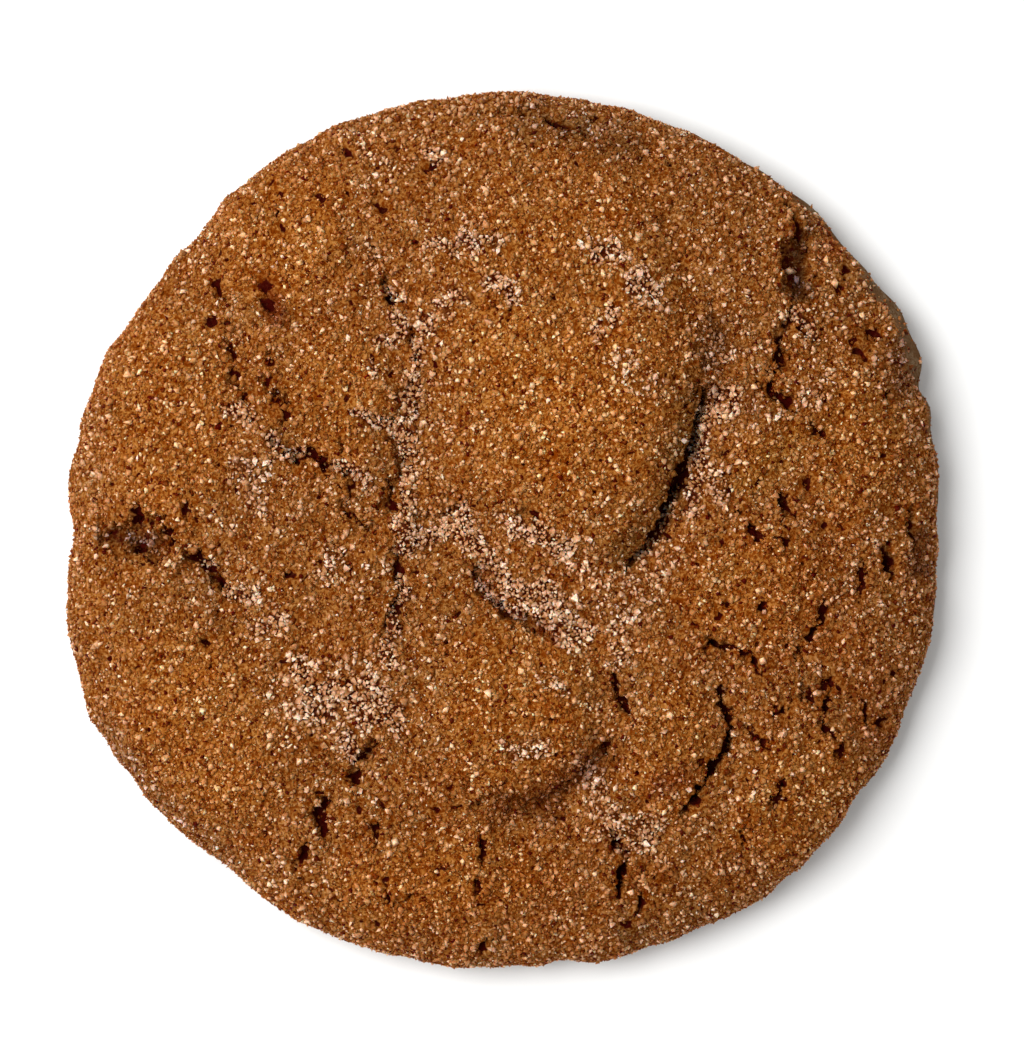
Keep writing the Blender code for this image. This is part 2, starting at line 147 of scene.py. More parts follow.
# Cracks and folds that the solid has too, drawn closer to the photo: width, depth and the way that each runs
CRACKS = (
    Crack(1.8, 2.4, ((19.9, 13.6), (19.7, 11.6), (18.9, 8.6), (17.5, 4.5), (15.4, -0.3), (13.6, -2.6),
                     (11.9, -4.2)), 0.9, (-0.5, 0.2), 0.3, dark=0.75),
    Crack(3.4, 1.6, ((28.9, 28.6), (28.6, 26.6), (28.6, 24.4), (28.6, 22.2)), torn=0.5, dark=0.47),
    Crack(4.0, 1.3, ((-39.4, -0.6), (-36.6, -0.9), (-33.8, -1.2), (-31.6, -2.8)), 0.3, dark=0.48),
    Crack(1.5, 1.3, ((-30.8, -2.4), (-28.6, -3.8), (-26.6, -5.8)), 0.6),
    Crack(1.1, 1.6, ((21.3, -15.4), (21.7, -17.6), (22.4, -19.3), (22.4, -21.4)), 0.3),
    Crack(1.4, 2.0, ((22.5, -19.6), (21.9, -21.8), (20.9, -23.8), (19.0, -26.0), (17.0, -27.9)), 0.4),
    Crack(1.2, 1.3, ((28.6, 22.6), (27.6, 18.2), (27.2, 16.0), (26.0, 13.6), (27.4, 12.3),
                     (29.4, 10.5)), 0.4),
    Crack(1.2, 1.1, ((-11.4, 24.6), (-10.8, 23.0), (-10.2, 21.6)), 0.4),
    Crack(1.1, 1.0, ((-8.6, 19.6), (-8.1, 17.8), (-7.9, 15.6)), 0.3),
    Crack(1.4, 0.6, ((-8.2, 15.4), (-8.8, 13.0), (-9.9, 11.2)), 0.5, dark=0.45),
    Crack(1.2, 0.7, ((-10.3, 11.2), (-10.2, 8.8), (-9.6, 6.6), (-10.2, 4.4), (-11.8, 1.4)), 0.7, dark=0.45),
    Crack(1.6, 0.9, ((-15.4, 2.8), (-14.2, 0.9), (-12.4, 0.4), (-10.9, -1.4)), 0.4, torn=1.3, dark=0.75),
    Crack(1.0, 0.7, ((-8.4, 1.2), (-5.6, 1.4), (-2.8, 2.6)), 0.6, dark=0.3),
    Crack(1.2, 1.0, ((-10.4, -2.0), (-9.7, -4.6), (-10.0, -7.2), (-11.4, -11.0)), 0.2),
    Crack(1.7, 1.3, ((-2.6, -3.2), (-2.0, -4.8), (-1.1, -6.2), (0.5, -7.8), (2.3, -8.8), (5.6, -10.8)), 0.5,
          torn=1.2, dark=0.46),
    Crack(2.4, 0.6, ((-3.4, -27.3), (0.0, -26.8), (3.1, -27.0), (6.0, -26.1), (8.0, -24.2),
                     (10.9, -20.0)), 0.7, torn=0.2, dark=0.0),
    Crack(1.4, 0.8, ((-2.4, 40.6), (1.1, 40.4), (4.0, 40.0), (6.6, 39.0), (10.4, 37.5)), dark=0.3),
    Crack(0.9, 0.9, ((27.6, 32.4), (28.6, 29.8), (29.4, 27.6))),
    Crack(0.9, 0.8, ((-26.8, 18.6), (-25.6, 16.4), (-26.0, 14.9), (-24.4, 12.0)), 0.3, torn=1.2, dark=0.8),
    Crack(0.8, 0.8, ((-23.2, 14.8), (-21.2, 12.2), (-20.8, 10.4), (-22.1, 8.7)), 0.3, torn=1.2, dark=0.75),
    Crack(1.2, 1.1, ((-22.1, 8.7), (-20.0, 6.8), (-18.4, 7.2), (-16.6, 6.0), (-13.2, 5.2)), 0.3),
    Crack(1.1, 1.3, ((11.0, -13.9), (11.3, -15.8), (12.3, -17.6), (13.1, -19.2)), 0.3, torn=0.7),
    Crack(1.3, 1.5, ((-11.9, -20.2), (-12.9, -21.8), (-13.7, -23.3), (-13.8, -24.6), (-14.2, -25.5)), 0.3),
    Crack(1.3, 1.4, ((-16.6, -26.0), (-17.3, -27.6), (-17.0, -29.2), (-17.4, -30.4)), 0.2),
    Crack(0.9, 1.0, ((-17.6, -30.0), (-19.2, -31.8), (-20.3, -33.8))),
    Crack(0.7, 0.8, ((-2.1, -28.4), (-1.7, -31.4), (-2.1, -33.9), (-2.3, -36.2))),
    Crack(0.9, 1.0, ((10.8, -27.6), (11.3, -30.0), (12.4, -31.8), (11.6, -34.6), (11.3, -36.6)), 0.2),
    Crack(0.9, 0.9, ((-1.2, -39.4), (-1.4, -40.8))),
    Crack(0.9, 0.9, ((22.8, 1.6), (24.2, 0.2), (25.9, -1.5)), 0.2),
    Crack(1.2, 1.0, ((31.2, -6.4), (31.3, -8.6), (30.2, -10.2), (29.2, -11.5), (29.4, -13.6)), 0.3),
    Crack(0.8, 0.8, ((19.6, -10.2), (21.3, -11.4), (24.3, -12.0), (24.8, -13.8)), 0.2),
    Crack(1.2, 1.2, ((37.6, -1.3), (37.2, -2.8), (38.0, -4.0), (37.8, -5.4))),
    Crack(0.8, 0.8, ((40.2, 2.8), (40.1, 0.8), (39.9, -2.4))),
    Crack(0.7, 0.8, ((27.7, -24.3), (26.9, -26.3), (26.0, -28.0))),
)

# Small cracks that the solid leaves out
SMALL_CRACKS = (
    Crack(0.7, 0.7, ((-34.9, 2.8), (-35.2, 1.7), (-34.9, 0.6))),
    Crack(0.8, 0.7, ((-37.9, 0.2), (-36.6, 0.4), (-35.0, 0.9)), torn=1.4),
    Crack(0.8, 0.8, ((-34.2, 0.8), (-32.6, 0.6), (-32.1, -0.9), (-31.8, -2.4)), torn=1.4),
    Crack(0.8, 0.7, ((-36.4, -2.2), (-34.9, -2.3), (-33.6, -3.7)), torn=1.4),
    Crack(0.7, 0.5, ((-27.4, -4.8), (-26.6, -5.6), (-25.4, -6.4))),
    Crack(0.6, 0.6, ((-30.3, 3.0), (-30.0, 1.8), (-30.2, 0.6)), dark=0.7),
    Crack(0.8, 0.7, ((-28.6, -10.2), (-28.2, -11.0), (-27.6, -12.2)), torn=1.4),
    Crack(0.6, 0.5, ((-28.0, 23.8), (-27.2, 22.6), (-26.4, 21.8)), torn=1.3, dark=0.8),
    Crack(0.9, 0.5, ((-22.8, 23.6), (-22.6, 21.8), (-21.6, 20.4)), torn=1.4, dark=0.6),
    Crack(0.6, 0.5, ((-22.3, 17.4), (-22.5, 16.2), (-22.3, 15.4)), dark=0.8),
    Crack(0.6, 0.6, ((-23.0, 9.4), (-22.2, 8.6), (-21.6, 7.4)), torn=1.3),
    Crack(0.7, 0.6, ((-13.5, 5.3), (-14.4, 3.6), (-14.7, 2.2))),
    Crack(0.6, 0.5, ((-15.4, 8.6), (-15.2, 7.6), (-15.6, 6.8)), dark=0.7),
    Crack(1.4, 0.6, ((-10.8, 5.2), (-10.5, 3.4), (-10.1, 1.6), (-10.6, 0.4)), torn=1.4, dark=0.55),
    Crack(0.7, 0.6, ((-11.2, -34.4), (-10.8, -35.4), (-11.2, -36.4))),
    Crack(0.8, 0.6, ((0.4, 1.8), (2.2, 1.7), (4.4, 1.2)), torn=1.4, dark=0.75),
    Crack(0.6, 0.5, ((-12.0, -28.0), (-11.9, -29.5), (-12.3, -31.0))),
    Crack(0.6, 0.7, ((13.8, -35.0), (13.6, -36.2), (13.4, -37.6))),
    Crack(0.8, 0.8, ((12.5, -31.9), (12.0, -33.6), (11.5, -35.0), (11.6, -36.6))),
    Crack(0.6, 0.6, ((27.1, 3.0), (27.2, 1.8), (27.2, 0.4))),
    Crack(0.8, 0.8, ((32.0, -15.4), (31.9, -16.8), (31.7, -18.4))),
    Crack(1.1, 0.8, ((29.2, -13.6), (29.4, -15.4), (30.6, -17.8), (32.0, -19.6), (33.0, -21.0)), torn=1.2),
    Crack(0.8, 0.7, ((26.4, -0.8), (27.4, -1.0), (28.4, -1.1))),
    Crack(0.9, 0.7, ((26.9, 3.2), (27.6, 2.1), (28.4, 0.8))),
    Crack(0.7, 0.6, ((20.9, -10.9), (20.2, -11.3), (19.7, -12.1))),
    Crack(0.7, 0.6, ((35.2, -1.5), (34.9, -3.0), (35.4, -4.7), (34.7, -6.8))),
    Crack(0.6, 0.6, ((24.8, -28.6), (23.6, -29.7), (23.4, -31.4))),
    Crack(0.9, 0.7, ((35.2, -16.6), (35.5, -18.2), (35.6, -19.6))),
    Crack(0.9, 0.7, ((33.3, -20.1), (32.9, -21.4), (32.6, -22.6))),
    Crack(1.0, 0.8, ((38.0, -18.1), (37.2, -18.8), (36.2, -19.4))),
    Crack(0.7, 0.5, ((26.4, -18.0), (27.3, -17.6), (28.2, -17.3))),
    Crack(0.7, 0.5, ((10.6, -20.2), (10.2, -21.2), (9.8, -22.0)), dark=0.7),
    Crack(1.2, 0.3, ((-10.4, -36.5), (-8.8, -35.9), (-6.8, -35.3)), dark=0.2),
    Crack(0.8, 0.4, ((1.2, 40.5), (4.4, 39.7), (7.4, 38.9)), torn=0.5, dark=0.75),
    Crack(2.6, 0.4, ((20.9, 22.0), (20.6, 18.6), (19.9, 15.2), (19.6, 12.4)), 0.4, dark=0.3),
    Crack(1.6, 0.5, ((19.6, 11.8), (19.4, 8.8), (18.4, 5.4), (17.2, 2.6), (15.4, -0.4)), torn=1.5, dark=0.6),
    Crack(0.6, 0.5, ((25.4, 16.2), (26.3, 15.0), (26.8, 13.6))),
    Crack(0.7, 0.6, ((29.8, 10.2), (31.0, 9.4), (31.6, 8.2))),
    Crack(0.8, 0.6, ((29.2, 20.4), (29.8, 18.6), (29.0, 17.2)), torn=1.4, dark=0.8),
    Crack(0.6, 0.5, ((24.2, -20.0), (25.4, -20.6), (26.4, -21.8))),
    Crack(0.6, 0.5, ((-30.6, -11.0), (-29.0, -10.7), (-27.4, -12.2))),
)

# Small holes in the crust, each with its place, radius and depth. The solid has the first thirteen
PITS = [Pit((x, y), radius, depth) for x, y, radius, depth in (
    (-11.7, 31.0, 0.8, 1.2), (32.0, -14.9, 0.9, 1.2), (29.8, 4.3, 0.9, 0.9), (-6.6, 35.2, 0.9, 0.5),
    (-22.6, 23.3, 1.3, 0.4), (-27.5, 23.8, 0.8, 0.7), (-28.0, 20.0, 0.8, 0.7), (36.5, 19.0, 0.8, 0.7),
    (34.8, 17.2, 0.8, 0.7), (25.5, -7.5, 0.7, 0.7), (11.2, -30.8, 0.9, 0.8), (-28.2, -11.0, 0.7, 0.7),
    (13.6, -36.4, 0.8, 0.8), (37.7, -3.4, 1.10, 1.0), (19.0, -26.4, 1.00, 0.9), (12.4, -38.3, 0.80, 0.7),
    (33.7, 25.2, 0.61, 0.7), (33.9, 24.5, 0.54, 0.6), (32.8, 23.4, 0.68, 0.7), (36.1, 19.3, 0.68, 0.7),
    (36.9, 18.8, 0.61, 0.6), (36.2, 18.3, 0.54, 0.6), (34.3, 18.2, 0.61, 0.6), (35.4, 16.6, 0.68, 0.7),
    (37.6, 12.8, 0.61, 0.6), (27.2, 6.4, 0.54, 0.5), (37.1, 6.9, 0.61, 0.5), (31.3, 0.2, 0.61, 0.5),
    (33.2, 0.2, 0.54, 0.5), (21.0, -8.6, 0.68, 0.6), (21.6, -1.3, 0.54, 0.5), (25.3, -7.6, 0.68, 0.7),
    (24.6, -12.8, 0.68, 0.7), (24.9, -13.7, 0.61, 0.6), (20.8, -11.2, 0.68, 0.6), (38.3, -14.0, 0.68, 0.5),
    (37.2, -15.1, 0.68, 0.5), (32.7, -15.6, 0.54, 0.6), (31.3, -15.3, 0.54, 0.6), (27.2, -24.8, 0.68, 0.6),
    (27.6, -26.2, 0.54, 0.5), (23.5, -30.0, 0.68, 0.6), (27.6, -17.6, 0.54, 0.5), (19.4, -22.6, 0.54, 0.5),
    (-22.1, 33.4, 0.68, 0.5), (-21.7, 32.2, 0.54, 0.5), (-17.4, 31.9, 0.68, 0.7), (-21.1, 28.7, 0.68, 0.6),
    (-14.9, 36.6, 0.68, 0.6), (-14.4, 35.9, 0.54, 0.5), (-6.3, 35.4, 0.68, 0.6), (-7.2, 34.8, 0.54, 0.5),
    (9.2, 39.9, 0.54, 0.5), (-14.6, 12.4, 0.54, 0.5), (-12.3, 16.4, 0.54, 0.5), (-10.6, 22.4, 0.68, 0.6),
    (-9.6, 22.2, 0.61, 0.6), (-24.6, 12.8, 0.50, 0.7), (-26.3, 20.0, 0.54, 0.5), (-22.4, 14.2, 0.61, 0.6),
    (-20.8, 11.2, 0.68, 0.7), (-19.8, 6.7, 0.81, 0.8), (-17.0, 5.9, 0.68, 0.6), (-25.5, 3.7, 0.54, 0.6),
    (-35.3, 17.8, 0.54, 0.4), (-11.4, -26.9, 0.61, 0.6), (-12.0, -29.4, 0.54, 0.6), (-13.7, -27.2, 0.54, 0.6),
    (-11.0, -34.0, 0.61, 0.5), (-13.4, -38.1, 0.68, 0.6), (-11.9, -38.4, 0.61, 0.5), (-1.6, -40.6, 0.68, 0.7),
    (-38.2, -12.5, 0.68, 0.5), (-20.8, -12.9, 0.61, 0.8), (-22.2, -22.0, 0.54, 0.5),
    (-22.8, -29.8, 0.61, 0.5), (-20.3, -4.6, 0.68, 0.6), (-6.4, -27.2, 0.68, 0.5), (-4.2, -26.9, 0.54, 0.5),
    (-6.0, -33.4, 0.61, 0.6),
)]

# Loose sugar that gathered in the hollows: how wide it lies, how far it fills them, how much, and where
DRIFTS = [Drift(radius, rise, amount, path) for radius, rise, amount, *path in (
    # Along the middle plate's left edge
    (0.7, 0.1, 0.55, (-13.1, 27.4), (-12.3, 26.2), (-12.7, 25.4)),
    (0.5, 0.0, 0.90, (-11.1, 23.3), (-10.0, 22.5), (-9.3, 22.2)),
    (0.6, 0.0, 0.95, (-10.2, 20.5), (-9.4, 19.6), (-9.4, 18.8)),
    (0.8, 0.1, 0.75, (-6.8, 19.0), (-7.6, 19.6), (-7.2, 20.4)),
    (0.7, 0.1, 0.65, (-6.3, 21.8), (-5.1, 21.2), (-4.8, 20.1)),
    (0.7, 0.1, 0.70, (-4.7, 22.9), (-3.9, 22.3), (-3.2, 21.9)),
    (0.6, 0.0, 0.80, (-11.7, 18.3), (-10.5, 18.0)),
    (0.5, 0.0, 0.80, (-12.5, 16.0), (-12.3, 15.1)),
    (0.6, 0.1, 0.90, (-8.0, 18.0), (-7.8, 17.0), (-8.2, 16.0), (-8.0, 15.0)),
    (0.9, 0.2, 0.95, (-8.5, 14.5), (-8.2, 13.5), (-8.7, 12.7), (-8.5, 11.3)),
    (1.3, 0.3, 1.00, (-9.6, 9.6), (-9.0, 8.6), (-8.7, 7.6)),
    (0.7, 0.2, 1.00, (-8.9, 6.9), (-8.7, 5.9), (-8.8, 4.6), (-9.0, 3.3), (-9.2, 1.6)),
    # The network below it
    (1.2, 0.4, 1.00, (-9.4, 0.3), (-8.9, -0.6), (-9.0, -1.7)),
    (0.9, 0.2, 0.95, (-8.2, -1.0), (-6.8, -0.8), (-5.6, -0.5)),
    (1.4, 0.3, 1.00, (-4.5, 0.6), (-3.8, 0.0), (-3.3, -0.7)),
    (0.6, 0.1, 0.95, (-3.3, 1.9), (-3.1, 0.8)),
    (1.1, 0.3, 1.00, (-2.8, -1.3), (-1.8, -2.1), (-1.0, -3.2)),
    (0.7, 0.0, 0.75, (-1.8, -5.4), (-0.4, -6.8), (1.6, -8.2)),
    (0.8, 0.1, 1.00, (-0.5, -3.6), (0.5, -5.0), (1.4, -5.9)),
    (0.9, 0.1, 0.90, (1.9, -5.9), (3.0, -7.2), (4.4, -8.8)),
    (1.4, 0.2, 1.00, (4.0, -6.0), (5.1, -6.8), (5.6, -8.3)),
    (1.0, 0.1, 0.85, (4.8, -9.0), (6.0, -9.6), (7.0, -10.4), (8.6, -9.9)),
    (1.0, 0.0, 0.50, (7.0, -3.6), (8.6, -4.4)),
    (1.4, 0.0, 0.40, (10.4, -5.4), (12.4, -5.2)),
    (0.8, 0.0, 0.60, (-0.2, 1.1), (1.2, 0.5)),
    (1.2, 0.2, 1.00, (1.9, 0.1), (3.5, -0.4), (4.8, -1.1), (5.9, -1.9)),
    (1.8, 0.0, 0.35, (8.2, -7.6), (10.9, -7.2), (13.9, -7.8)),
    (1.2, 0.0, 0.60, (11.9, -8.2), (11.9, -10.2), (11.4, -12.8)),
    (1.0, 0.0, 0.40, (13.1, -4.1), (14.7, -4.9), (16.4, -3.3)),
    # The middle crack and the hollow at the lower left
    (0.7, 0.2, 0.95, (-9.5, -5.3), (-9.2, -6.2), (-9.6, -7.0)),
    (0.6, 0.1, 0.90, (-10.5, -8.1), (-10.3, -9.8), (-10.8, -10.6)),
    (0.8, 0.1, 0.90, (-11.1, -11.3), (-10.9, -12.4), (-10.5, -12.9)),
    (0.9, 0.1, 0.95, (-26.0, -6.3), (-25.0, -6.4), (-23.8, -6.5)),
    (0.9, 0.0, 0.70, (-23.4, -10.0), (-22.5, -9.3), (-21.1, -8.8)),
    (0.8, 0.0, 0.60, (-16.4, -2.2), (-16.0, -3.2), (-16.8, -4.6)),
    (1.2, 0.1, 0.90, (-19.7, -13.3), (-19.1, -14.4), (-18.5, -15.2), (-17.9, -15.9)),
    (1.6, 0.2, 0.80, (-17.8, -15.4), (-16.4, -15.9), (-15.0, -15.7), (-14.0, -16.5)),
    (1.3, 0.1, 0.75, (-19.0, -17.4), (-18.0, -18.0), (-16.4, -17.4)),
    (1.1, 0.1, 0.85, (-13.0, -14.8), (-12.3, -15.8), (-11.3, -16.6), (-10.5, -17.5)),
    (0.9, 0.1, 0.85, (-12.5, -17.4), (-12.1, -18.2), (-13.1, -18.7)),
    (0.9, 0.0, 0.80, (-11.3, -18.2), (-10.1, -18.9)),
    (0.8, 0.0, 0.80, (-14.8, -20.1), (-15.3, -21.0), (-14.4, -21.1)),
    (0.5, 0.0, 1.00, (-14.2, -21.1), (-14.3, -22.3)),
    (2.4, 0.0, 0.35, (-21.3, -15.8), (-16.6, -18.0), (-13.7, -13.7)),
    # The left plate's right edge
    (1.0, 0.1, 0.80, (-26.0, 11.5), (-24.4, 10.9)),
    (0.7, 0.1, 0.80, (-22.1, 8.8), (-21.4, 7.4), (-20.1, 7.0), (-19.0, 7.4)),
    (0.7, 0.2, 0.85, (-15.6, 6.2), (-14.8, 5.8), (-13.9, 5.3), (-13.0, 4.8)),
    (0.7, 0.1, 0.85, (-14.1, 11.2), (-12.9, 10.7), (-11.7, 10.2), (-10.7, 10.0)),
    (1.4, 0.1, 0.62, (-25.1, 5.9), (-23.3, 5.5)),
    (1.3, 0.0, 0.45, (-24.4, 3.2), (-22.9, 1.7)),
    # Around the crease
    (0.9, 0.0, 0.85, (20.9, 13.1), (20.7, 11.7), (21.4, 11.1)),
    (0.7, 0.0, 0.90, (22.2, 13.1), (22.5, 12.1), (22.3, 10.9)),
    (0.9, 0.0, 0.90, (19.7, 11.3), (19.5, 9.6), (19.4, 7.8), (19.3, 6.1)),
    (0.8, 0.0, 0.90, (19.0, 4.5), (18.7, 3.3), (18.5, 1.6)),
    (0.5, 0.0, 0.70, (17.0, 3.2), (16.0, 0.8), (14.9, -1.2), (13.4, -2.8)),
    (1.3, 0.0, 0.55, (20.9, 4.8), (21.7, 3.0)),
    (1.6, 0.0, 0.40, (20.0, 19.3), (20.6, 17.9), (21.1, 16.4)),
    (1.0, 0.0, 0.50, (21.5, 17.9), (22.6, 17.2)),
    (1.0, 0.0, 0.45, (13.6, -2.3), (15.6, -1.6)),
    (1.6, 0.0, 0.45, (11.5, 16.2), (13.1, 14.9), (14.7, 13.3)),
    # The top of the middle plate
    (0.5, 0.0, 1.00, (9.0, 27.0), (10.2, 26.8)),
    (0.6, 0.0, 0.90, (9.4, 25.9), (10.9, 27.4), (11.7, 26.0)),
    (0.6, 0.1, 1.00, (12.5, 24.2), (13.1, 24.6), (13.9, 25.0)),
    (1.1, 0.1, 1.00, (12.8, 23.4), (13.7, 23.3), (14.6, 22.8)),
    (0.6, 0.0, 0.95, (10.6, 21.1), (10.9, 19.7)),
    (0.6, 0.0, 0.85, (9.5, 19.7), (9.1, 18.9), (9.8, 18.7)),
    (0.7, 0.0, 0.65, (13.1, 21.9), (14.7, 21.5), (15.7, 21.3)),
    (0.7, 0.1, 0.75, (-6.5, 27.6), (-5.3, 27.4), (-4.6, 27.0)),
    (0.9, 0.2, 0.85, (-3.6, 28.0), (-2.3, 27.8), (-2.7, 27.2)),
    (0.8, 0.0, 0.50, (-3.1, 29.9), (-1.5, 29.6)),
    (0.8, 0.0, 0.65, (-1.2, 27.7), (-0.1, 27.6)),
    (1.0, 0.0, 0.85, (-0.6, 23.8), (0.6, 23.3), (0.8, 22.5)),
    (1.2, 0.0, 0.45, (8.6, 27.2), (10.7, 26.7)),
    (0.7, 0.0, 0.50, (-13.4, 36.9), (-12.0, 36.2), (-11.0, 35.4)),
    (0.8, 0.0, 0.80, (-6.8, 36.2), (-6.0, 35.9)),
    # The lower right
    (1.3, 0.0, 0.60, (8.8, -23.6), (9.8, -26.6), (11.7, -29.0), (14.7, -29.5)),
    (1.6, 0.1, 0.62, (10.9, -28.9), (14.7, -28.9), (12.5, -30.4)),
    (1.4, 0.0, 0.60, (1.4, -21.4), (3.8, -21.2)),
    (1.2, 0.0, 0.50, (4.4, -14.2), (5.9, -15.6)),
    (1.4, 0.0, 0.45, (-15.4, -2.8), (-14.6, -4.0)),
    # By the right hole and in the hollows at the left
    (0.8, 0.1, 0.90, (28.9, 20.5), (29.7, 19.5), (30.1, 18.4)),
    (0.6, 0.0, 0.60, (28.3, 25.2), (28.7, 23.9)),
    (1.1, 0.0, 0.55, (29.6, 12.4), (31.0, 12.8), (31.6, 13.8)),
    (1.0, 0.1, 0.45, (-35.6, -1.2), (-33.8, -1.2)),
    (0.4, 0.0, 1.00, (-28.8, -3.4), (-27.7, -3.4)),
)]

# Coarse bright crystals, which lie where the photo shows them
CRYSTALS = (
    (4.3, 20.0), (34.7, -24.4), (31.9, -19.3), (24.4, 8.5), (9.5, 30.8), (4.4, 31.7), (13.1, 24.8),
    (-19.2, 27.5), (-1.3, -15.9), (-31.3, -2.6), (-38.6, -0.5), (30.7, 27.5), (31.2, 26.3), (32.1, 23.8),
    (34.8, 20.8), (28.2, 18.6), (27.7, 25.0), (33.3, 27.2), (34.1, 14.9), (11.0, 6.3), (21.5, 11.0),
    (22.3, 13.0), (24.0, 13.7), (25.6, 10.5), (18.1, 3.6), (10.6, 14.5), (12.9, 18.7), (-20.3, -5.8),
    (-21.6, -10.2), (-17.1, -20.0), (-26.2, -20.7), (-6.2, -20.0), (-24.3, -12.2), (-19.5, -22.2),
    (12.0, -11.4), (25.1, -12.6), (25.6, -6.5), (16.0, -17.9), (18.7, -27.7), (-24.1, -5.8), (-6.3, 36.2),
    (20.5, 5.5), (-6.4, -33.2), (-10.6, -30.2), (-33.2, -17.2), (-29.4, 9.9), (-35.2, 11.9),
)

# Where the crust's colour leans another way: golden, reddish and greyish patches of its own, and painted
# shade where zones darken the crease's banks, the lower arc, the holes, the crater, the trench and the rim
# crack
ZONES = (
    Zone(17.0, (1.12, 1.12, 1.06), ((4.0, 12.0),)),
    Zone(13.0, (0.98, 0.98, 0.93), ((-35.0, -8.0),)),
    Zone(9.0, (0.94, 0.86, 0.76), ((-8.0, -35.0), (8.0, -34.0))),
    Zone(14.0, (0.98, 0.92, 0.90), ((30.0, -8.0),)),
    Zone(3.4, (0.72, 0.78, 0.95), ((3.0, 39.6), (7.0, 38.4), (11.4, 37.6))),
    Zone(3.0, (1.10, 0.86, 0.70), ((31.8, 27.4),)),
    Zone(3.2, (0.66, 0.72, 1.00), ((38.8, 17.6), (38.6, 14.6))),
    Zone(1.9, (0.60, 0.42, 0.50), ((-22.8, 23.6), (-21.9, 21.2))),
    Zone(3.0, (0.70, 0.78, 0.95), ((12.2, -38.6),)),
    # Painted shade on the middle plate's flank along the crease
    Zone(2.2, (0.62, 0.66, 0.66), ((18.6, 11.8), (17.2, 8.0), (15.9, 4.0), (13.8, 0.2), (12.0, -2.6))),
    Zone(2.6, (0.58, 0.56, 0.58), ((20.8, 19.6), (20.4, 16.4), (19.8, 13.4))),
    # Painted shade on the lower plate's flank along the lower arc
    Zone(2.9, (0.50, 0.42, 0.42), ((0.6, -26.8), (3.4, -26.2), (5.8, -25.0), (7.6, -23.4), (9.8, -21.2))),
    Zone(1.8, (0.70, 0.76, 0.90), ((-28.6, -4.6), (-28.0, -7.4), (-27.4, -9.4))),
    Zone(2.0, (0.86, 0.94, 1.20), ((-38.6, -18.6), (-35.4, -24.0), (-30.6, -28.8), (-27.0, -31.6))),
    Zone(3.0, (1.04, 1.06, 0.85), ((23.8, 4.8), (27.4, 8.6))),
    Zone(2.4, (0.78, 0.64, 0.70), ((17.6, -23.4), (15.4, -24.6))),
    Zone(1.6, (0.72, 0.66, 0.72), ((23.8, 12.2),)),
    # Painted shade in the right hole, the crater, the trench and the rim crack
    Zone(1.9, (0.22, 0.22, 0.32), ((29.0, 28.6), (28.6, 26.4), (28.8, 23.6))),
    Zone(2.2, (0.46, 0.42, 0.52), ((-38.0, -0.6), (-33.6, -1.4))),
    Zone(1.1, (0.72, 0.64, 0.68), ((-2.4, -4.0), (-1.3, -6.2), (0.3, -7.9), (2.2, -8.9), (5.2, -10.6))),
    Zone(1.8, (0.42, 0.36, 0.40), ((40.2, -0.6), (40.6, -3.6))),
    Zone(3.2, (0.96, 0.88, 0.88), ((36.6, -14.6), (36.2, -20.0))),
)
HUE_SIZE, HUE_LEAN = 3.2, (0.02, -0.03, -0.10)
WARMTH_SIZE, WARMTH_LEAN = 7.0, (0.03, 0.01, -0.02)
# The plates a little more golden, and the valleys between them a little darker as painted shade
PLATE_TINT, VALLEY_SHADE_TINT = (1.06, 0.99, 0.88), (0.96, 0.94, 1.02)
# Painted shade on the crust under and between the pale grains
GAP_SHADE_TINT, GAP_STRENGTH, GAP_POWER = (0.24, 0.11, 0.16), 1.5, 1.7
ZONE_WAVES, ZONE_RIPPLES = Wave(3.0, 0.25, 28), Wave(1.2, 0.15, 39)

# How ragged the drifts' edges are, how fast they fade there, and how far past a radius a ragged edge may go
DRIFT_EDGE = Wave(1.0, 0.35, 30)
DRIFT_OUT, DRIFT_FADE = 1.15, 0.5
RAGGED_MARGIN = 1.6

# How high up the side the sugar starts: low all round, but higher where the photo shows the side bare
BARE_BELOW = 1.5
BARE_RISES = (
    Bare(34.0, 38.0, 3.7),
    Bare(22.0, 8.0, 0.8),
    Bare(-32.0, 26.0, 1.8),
)
BARE_WAVES, BARE_RIPPLES = Wave(3.0, 0.7, 27), Wave(1.1, 0.4, 38)
BARE_FADE = 1.4
BARE_GRAINS = 0.08
RIM_PER_DEGREE = 0.75

# A grain of sugar is an uneven crystal with six corners
GRAIN_CORNERS = np.array(((1, 0, 0), (-1, 0, 0), (0, 1, 0), (0, -1, 0), (0, 0, 1), (0, 0, -1))) * 0.62
GRAIN_FACES = np.array(((0, 2, 4), (2, 1, 4), (1, 3, 4), (3, 0, 4),
                        (2, 0, 5), (1, 2, 5), (3, 1, 5), (0, 3, 5)))
GRAIN_WIDTHS, GRAIN_WEAR = (0.42, 1.08), (-0.40, 0.15)
SMALL_GRAINS = 1.4
CELL_MARGIN = 0.12

